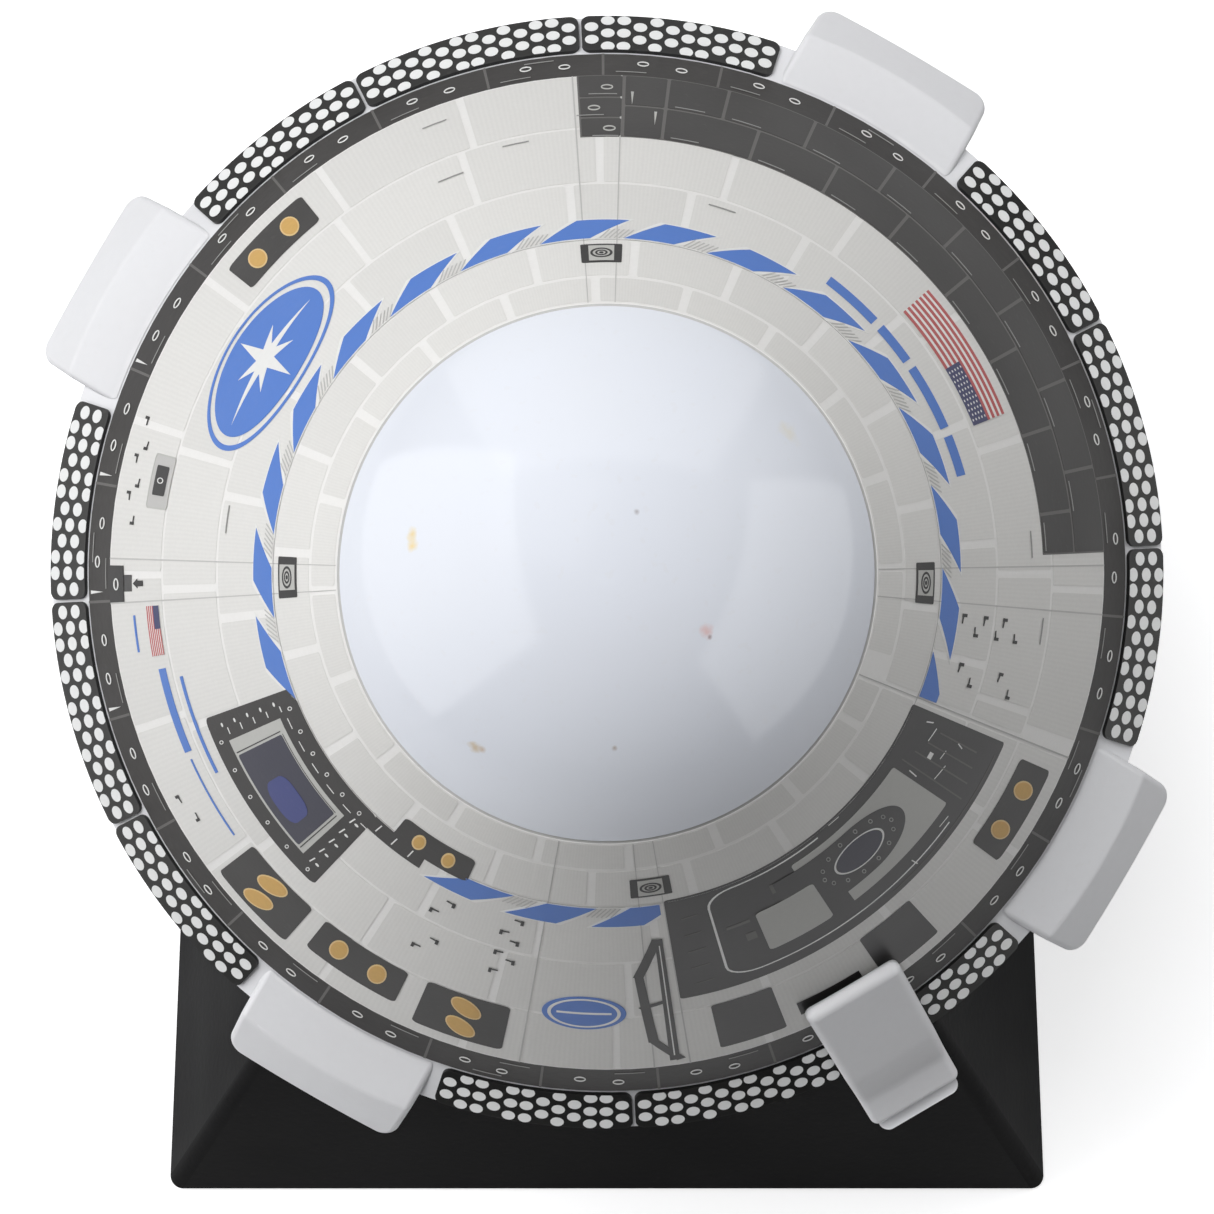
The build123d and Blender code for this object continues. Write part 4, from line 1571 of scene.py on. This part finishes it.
@dataclass
class PlainPatches(Printed):
    """Generic decoration: a round compass patch, striped pennants, an oval badge and plain bars."""

    roundel: Spot = (147.8, 40.3)
    roundel_radius: float = 10.6
    roundel_ring: float = 12.4
    roundel_line: float = 0.7
    star_points: int = 8
    star_reach: Spot = (0.86, 0.52)
    star_waist: float = 0.2
    pennant: Patch = (22.0, 41.5, 32.6, 43.0)
    small_pennant: Patch = (184.0, 190.3, 21.2, 25.3)
    stripe_rows: int = 13
    corner_rows: int = 6
    corner_share: float = 0.47
    speck: float = 0.16
    speck_rows: int = 9
    speck_columns: int = 6
    oval: Spot = (267.0, 28.2)
    oval_radius: float = 5.4
    oval_inset: float = 0.7
    oval_line: float = 0.45
    oval_bar: Spot = (3.6, 0.3)
    bars: Patches = (
        (15.5, 22.0, 49.9, 52.4),
        (23.4, 34.0, 49.9, 52.4),
        (35.4, 42.0, 49.9, 52.4),
        (43.4, 53.0, 49.9, 52.4),
        (192.0, 203.0, 22.2, 24.6),
        (204.0, 215.0, 22.9, 23.5),
        (193.5, 207.0, 28.6, 29.6),
        (185.0, 189.5, 16.2, 16.9),
    )

    def draw(self) -> None:
        """Lay every patch in its inks."""
        face = self.face
        blue = self.film("patch_blue", Layer.DETAIL, Ink.BLUE)
        pale = self.film("patch_pale", Layer.MARK, Ink.CHALK)
        blue.lay(face.disc(self.roundel, self.roundel_radius))
        blue.lay(face.ring(self.roundel, self.roundel_ring, self.roundel_line))
        pale.lay(self.star())
        angle, slant = self.oval
        wide, tall = self.oval_bar
        blue.lay(face.disc(self.oval, self.oval_radius))
        pale.lay(face.ring(self.oval, self.oval_radius - self.oval_inset, self.oval_line))
        pale.lay(face.bar((angle - wide, angle + wide, slant - tall, slant + tall)))
        for patch in self.bars:
            blue.lay(face.bar(patch))
        red = self.film("patch_red", Layer.TOP, Ink.RED)
        navy = self.film("patch_navy", Layer.TOP, Ink.NAVY)
        for patch in (self.pennant, self.small_pennant):
            pale.lay(face.bar(patch))
            red.lay(self.stripes(patch))
            navy.lay(face.bar(self.corner(patch)))
        self.specks()

    def star(self) -> list[Shape]:
        """Eight points of the compass star, long and short in turn.

        Returns:
            One kite for each point.
        """
        kites = []
        waist = self.roundel_radius * self.star_waist
        half = 180.0 / self.star_points
        for step in range(self.star_points):
            turn = 2 * half * step
            tip = self.around(self.roundel_radius * self.star_reach[step % 2], turn)
            right, left = (self.around(waist, turn + way) for way in (-half, half))
            kites.append([self.roundel, right, tip, left])
        return kites

    def around(self, away: float, turn: float) -> Spot:
        """Spot at a distance and a direction from the round patch's middle."""
        move = (away * math.cos(math.radians(turn)), away * math.sin(math.radians(turn)))
        return (self.roundel[0] + self.face.degrees(move[0], self.roundel[1]), self.roundel[1] + move[1])

    def stripes(self, patch: Patch) -> list[Shape]:
        """Red stripes of one pennant, the upper ones cut short by its corner.

        Args:
            patch: the pennant's two angles and two slants.

        Returns:
            One shape for each stripe.
        """
        start, end, low, high = patch
        row = (high - low) / self.stripe_rows
        shapes = []
        for step in range(0, self.stripe_rows, 2):
            begin = start if step <= self.stripe_rows - self.corner_rows - 1 else self.corner(patch)[1]
            shapes.extend(self.face.bar((begin, end, low + step * row, low + (step + 1) * row)))
        return shapes

    def corner(self, patch: Patch) -> Patch:
        """Blue corner of one pennant.

        Args:
            patch: the pennant's two angles and two slants.

        Returns:
            The corner's two angles and two slants.
        """
        start, end, low, high = patch
        share = (self.stripe_rows - self.corner_rows) / self.stripe_rows
        return (start, start + (end - start) * self.corner_share, low + (high - low) * share, high)

    def specks(self) -> None:
        """Lay the pale specks of the large pennant's corner, in rows set off from each other."""
        film = self.film("patch_specks", Layer.PEAK, Ink.CHALK)
        start, end, low, high = self.corner(self.pennant)
        for row in range(self.speck_rows):
            odd = row % 2
            slant = low + (high - low) * (row + 1) / (self.speck_rows + 1)
            for step in range(self.speck_columns - odd):
                angle = start + (end - start) * (0.5 + step + odd / 2) / self.speck_columns
                film.lay(self.face.disc((angle, slant), self.speck))


@dataclass
class DomeGapShade(Printed):
    """Grey band painted on the cone's flat edge round the nose dome: painted shade of the narrow gap between
    them.
    """

    low: float = 0.1
    high: float = 0.43

    def draw(self) -> None:
        """Lay the painted shade band on the cone's flat edge."""
        film = self.film("dome_gap_shade", Layer.GROUND, Ink.FOLD)
        film.lay(self.face.bar((0.0, 360.0, self.low, self.high)))


@dataclass
class WallLines(Printed):
    """Fine joint lines and small rivets on the service module's white wall."""

    slot = "shell_white"
    rings: Numbers = (4.0, 30.0)
    high: float = 54.4
    joints: Numbers = (-30.0, -12.0, 12.0, 30.0)
    width: float = 0.2
    rivet: float = 0.35
    rivet_count: int = 20
    rivet_above: float = 1.3

    def draw(self) -> None:
        """Lay the lines between the housings, and a row of rivets beside each ring."""
        lines = self.film("wall_lines", Layer.GROUND, Ink.ASH)
        rivets = self.film("wall_rivets", Layer.BLOCK, Ink.FOLD)
        for middle in QUADRANTS:
            start = middle + self.joints[0]
            end = middle + self.joints[-1]
            for slant in self.rings + (self.high,):
                lines.lay(self.face.bar((start, end, slant - self.width / 2, slant + self.width / 2)))
            for joint in self.joints:
                path = [(middle + joint, self.rings[0]), (middle + joint, self.high)]
                lines.lay(self.face.stroke(path, self.width))
            for slant in self.rings:
                for step in range(self.rivet_count):
                    angle = start + (end - start) * (step + 0.5) / self.rivet_count
                    rivets.lay(self.face.disc((angle, slant + self.rivet_above), self.rivet))


@dataclass
class RadiatorDots(Printed):
    """White dots in close columns of two and three on each dark panel of the flared edge."""

    slot = "panel_black"
    middle_half: float = 12.0
    side_start: float = 12.3
    side_end: float = 33.25
    middle_columns: str = "23323233232332"
    side_columns: str = "233232332332"
    pair_slants: Numbers = (2.22, 4.48)
    triple_slants: Numbers = (1.14, 3.38, 5.72)
    radius: float = 0.79
    stretch: float = 1.2
    low: float = 0.32
    high: float = 6.30
    margin: float = 0.12
    spare: float = 0.25

    def draw(self) -> None:
        """Lay the dots of the twelve panels."""
        film = self.film("radiator_dots", Layer.GROUND, Ink.DOT)
        for middle in QUADRANTS:
            for start, end, columns in (
                (-self.middle_half, self.middle_half, self.middle_columns),
                (self.side_start, self.side_end, self.side_columns),
                (-self.side_end, -self.side_start, self.side_columns[::-1]),
            ):
                film.lay(self.panel(middle + start, middle + end, columns))

    def panel(self, start: float, end: float, columns: str) -> list[Shape]:
        """Dots of one panel, trimmed at its edges.

        Args:
            start: where the panel starts.
            end: where it ends.
            columns: how many dots each column has.

        Returns:
            One shape for each dot.
        """
        pitch = (end - start) / (len(columns) + self.spare)
        shapes = []
        for step, count in enumerate(columns):
            angle = start + (step + 0.5 + self.spare / 2) * pitch
            for slant in self.pair_slants if count == "2" else self.triple_slants:
                shape = self.face.disc((angle, slant), self.radius, self.stretch)[0]
                shape = trimmed(shape, Axis.SLANT, self.low, True)
                shape = trimmed(shape, Axis.SLANT, self.high, False)
                shape = trimmed(shape, Axis.ANGLE, start + self.margin, True)
                shapes.append(trimmed(shape, Axis.ANGLE, end - self.margin, False))
        return shapes


@dataclass
class Shells:
    """Finishes of the solid pieces that come with the frame."""

    dome: DomeGloss = DomeGloss()
    cells: CellGlass = CellGlass()
    white: CastResin = CastResin(
        "shell_cast_white", (227, 228, 231), (223, 223, 226), (238, 238, 240), dust=0.05, edge_lightening=0.5
    )
    shield: CastResin = CastResin(
        "shield_charcoal", (54, 52, 51), (50, 48, 47), (104, 102, 98), dust=0.02, specular=0.12
    )
    panel: CastResin = CastResin(
        "panel_gloss_black", (16, 16, 16), (22, 22, 22), (70, 70, 70), dust=0.02, edge_lightening=0.2
    )
    bulkhead: CastResin = CastResin("bulkhead_mid_grey", (150, 151, 153), (140, 141, 143), (200, 200, 200))
    nozzle: CastResin = CastResin(
        "nozzle_dark_metal", (112, 112, 114), (96, 96, 98), (176, 176, 176), metal=0.85
    )
    post: CastResin = CastResin("post_satin_black", (24, 24, 25), (30, 30, 31), (80, 80, 80))
    plinth: CastResin = CastResin(
        "plinth_lacquer_black", (13, 13, 14), (18, 18, 19), (48, 48, 50), dust=0.01, specular=0.03
    )
    felt: CastResin = CastResin(
        "pad_felt_black",
        (28, 28, 29),
        (40, 40, 41),
        (60, 60, 60),
        smooth=0.85,
        rough=0.95,
        peel=0.6,
        peel_scale=2200.0,
    )

    def finish_of(self, node: str) -> Finish:
        """Choose the finish of one solid by the start of its name.

        Args:
            node: the solid's name.

        Returns:
            Its finish.
        """
        finishes = {
            "nose_dome": self.dome,
            "cell_plate": self.cells,
            "crew_cone": Ink.SEAM.value,
            "heat_shield": self.shield,
            "radiator_panel": self.panel,
            "aft_bulkhead": self.bulkhead,
            "aft_thrusters": self.nozzle,
            "main_engine": self.nozzle,
            "stand_post": self.post,
            "post_collar": self.post,
            "plinth": self.plinth,
            "base_pad": self.felt,
        }
        for start, finish in finishes.items():
            if node.startswith(start):
                return finish
        return self.white

    def dress(self) -> None:
        """Give every solid of the frame its finish."""
        for name, solid in frame["nodes"].items():
            solid.data.materials.clear()
            solid.data.materials.append(self.finish_of(name).material())
            LOG.info("%s: %s", name, solid.data.materials[0].name)


class Shine(Enum):
    """What a lamp does: light matt surfaces, or be mirrored in glossy ones."""

    MATT = "matt"
    GLOSS = "gloss"


@dataclass(frozen=True)
class Lamp:
    """One soft square lamp: its place in the room, the length of its side and its power in watts."""

    name: str
    place: Triple
    size: float
    power: float
    shine: Shine = Shine.MATT

    def hang(self, aim: Vector) -> None:
        """Hang the lamp and turn it to a place.

        Args:
            aim: the place in the room, in metres.
        """
        data = bpy.data.lights.new(self.name, "AREA")
        data.size = self.size * MM
        data.energy = self.power
        lamp = bpy.data.objects.new(self.name, data)
        lamp.location = Vector(self.place) * MM
        lamp.rotation_euler = (aim - lamp.location).to_track_quat("-Z", "Y").to_euler()
        lamp.visible_camera = False
        lamp.visible_diffuse = self.shine is Shine.MATT
        lamp.visible_glossy = self.shine is Shine.GLOSS
        bpy.context.scene.collection.objects.link(lamp)


@dataclass
class Studio:
    """Pale floor, soft lights and the camera over the capsule's nose."""

    attitude: Attitude = Attitude()
    camera_away: float = 329.5
    focal_pixels: float = 2400.0
    frame_pixels: float = 1214.0
    axis_above_middle: float = 33.0
    floor_size: float = 6000.0
    floor_drop: float = 0.2
    sensor: float = 36.0
    surround: float = 0.01
    lamps: tuple[Lamp, ...] = (
        Lamp("key", (-455.0, 168.0, 1351.0), 800.0, 13.0),
        Lamp("left", (-1240.0, -95.0, 524.0), 800.0, 5.3),
        Lamp("top_right", (792.0, 609.0, 977.0), 800.0, 5.0),
        Lamp("front", (0.0, -314.0, 1406.0), 800.0, 2.1),
        Lamp("left_card", (-1190.0, -120.0, 640.0), 1950.0, 23.0, Shine.GLOSS),
        Lamp("right_card", (1260.0, -300.0, 300.0), 1900.0, 17.0, Shine.GLOSS),
        Lamp("top_card", (0.0, 1180.0, 670.0), 2200.0, 17.0, Shine.GLOSS),
    )

    def build(self) -> None:
        """Make the floor, the lights, the surrounding light and the camera."""
        self.floor()
        for lamp in self.lamps:
            lamp.hang(Vector((0.0, 0.0, self.attitude.rim_height * MM)))
        self.sky()
        self.camera()

    def sky(self) -> None:
        """Surround the model with white that the camera sees and that hardly lights."""
        world = bpy.data.worlds.new("studio_surround")
        world.use_nodes = True
        wiring = Wiring(world.node_tree)
        seen = wiring.add("LightPath").outputs["Is Camera Ray"]
        strength = wiring.spread(seen, 0.0, 1.0, self.surround, 1.0)
        light = wiring.add("Background", {"Color": WHITE, "Strength": strength})
        wiring.add("OutputWorld", {"Surface": light.outputs[0]})
        bpy.context.scene.world = world
        bpy.context.scene.view_settings.view_transform = "Standard"

    def floor(self) -> None:
        """Lay a wide pale sheet under the model."""
        net = bmesh.new()
        bmesh.ops.create_grid(net, x_segments=8, y_segments=8, size=self.floor_size / 2 * MM)
        mesh = bpy.data.meshes.new("studio_floor")
        net.to_mesh(mesh)
        net.free()
        floor = bpy.data.objects.new("studio_floor", mesh)
        floor.location.z = -self.floor_drop * MM
        mesh.materials.append(WhiteSweep().material())
        bpy.context.scene.collection.objects.link(floor)

    def camera(self) -> None:
        """Set the camera on the capsule's axis, tilted so that the axis stands above the frame's middle."""
        data = bpy.data.cameras.new("camera")
        data.sensor_width = self.sensor
        data.lens = self.focal_pixels / self.frame_pixels * self.sensor
        data.clip_start = 0.01
        camera = bpy.data.objects.new("camera", data)
        camera.location = self.attitude.matrix() @ Vector((0.0, 0.0, self.camera_away))
        tilt = math.radians(self.attitude.lean) - math.atan(self.axis_above_middle / self.focal_pixels)
        camera.rotation_euler = (tilt, 0.0, 0.0)
        bpy.context.scene.collection.objects.link(camera)
        bpy.context.scene.camera = camera


def main() -> None:
    """Dress the solids, wrap the printed films and light the model."""
    logging.basicConfig(level=logging.INFO, format="%(message)s")
    body = CapsuleBody()
    cone = body.cone()
    Shells().dress()
    for printed in (
        BlanketSquares,
        WrapLines,
        HeatTiles,
        ShoulderMarks,
        StripeBelt,
        DockingTargets,
        JetPanels,
        CrewWindow,
        SideHatch,
        SmallFittings,
        PlainPatches,
    ):
        printed(cone).build()
    # grey band on the edge round the dome is painted shade of the gap
    DomeGapShade(body.land()).build()
    RadiatorDots(body.panels()).build()
    WallLines(body.wall()).build()
    Studio().build()


if __name__ == "__main__":
    main()
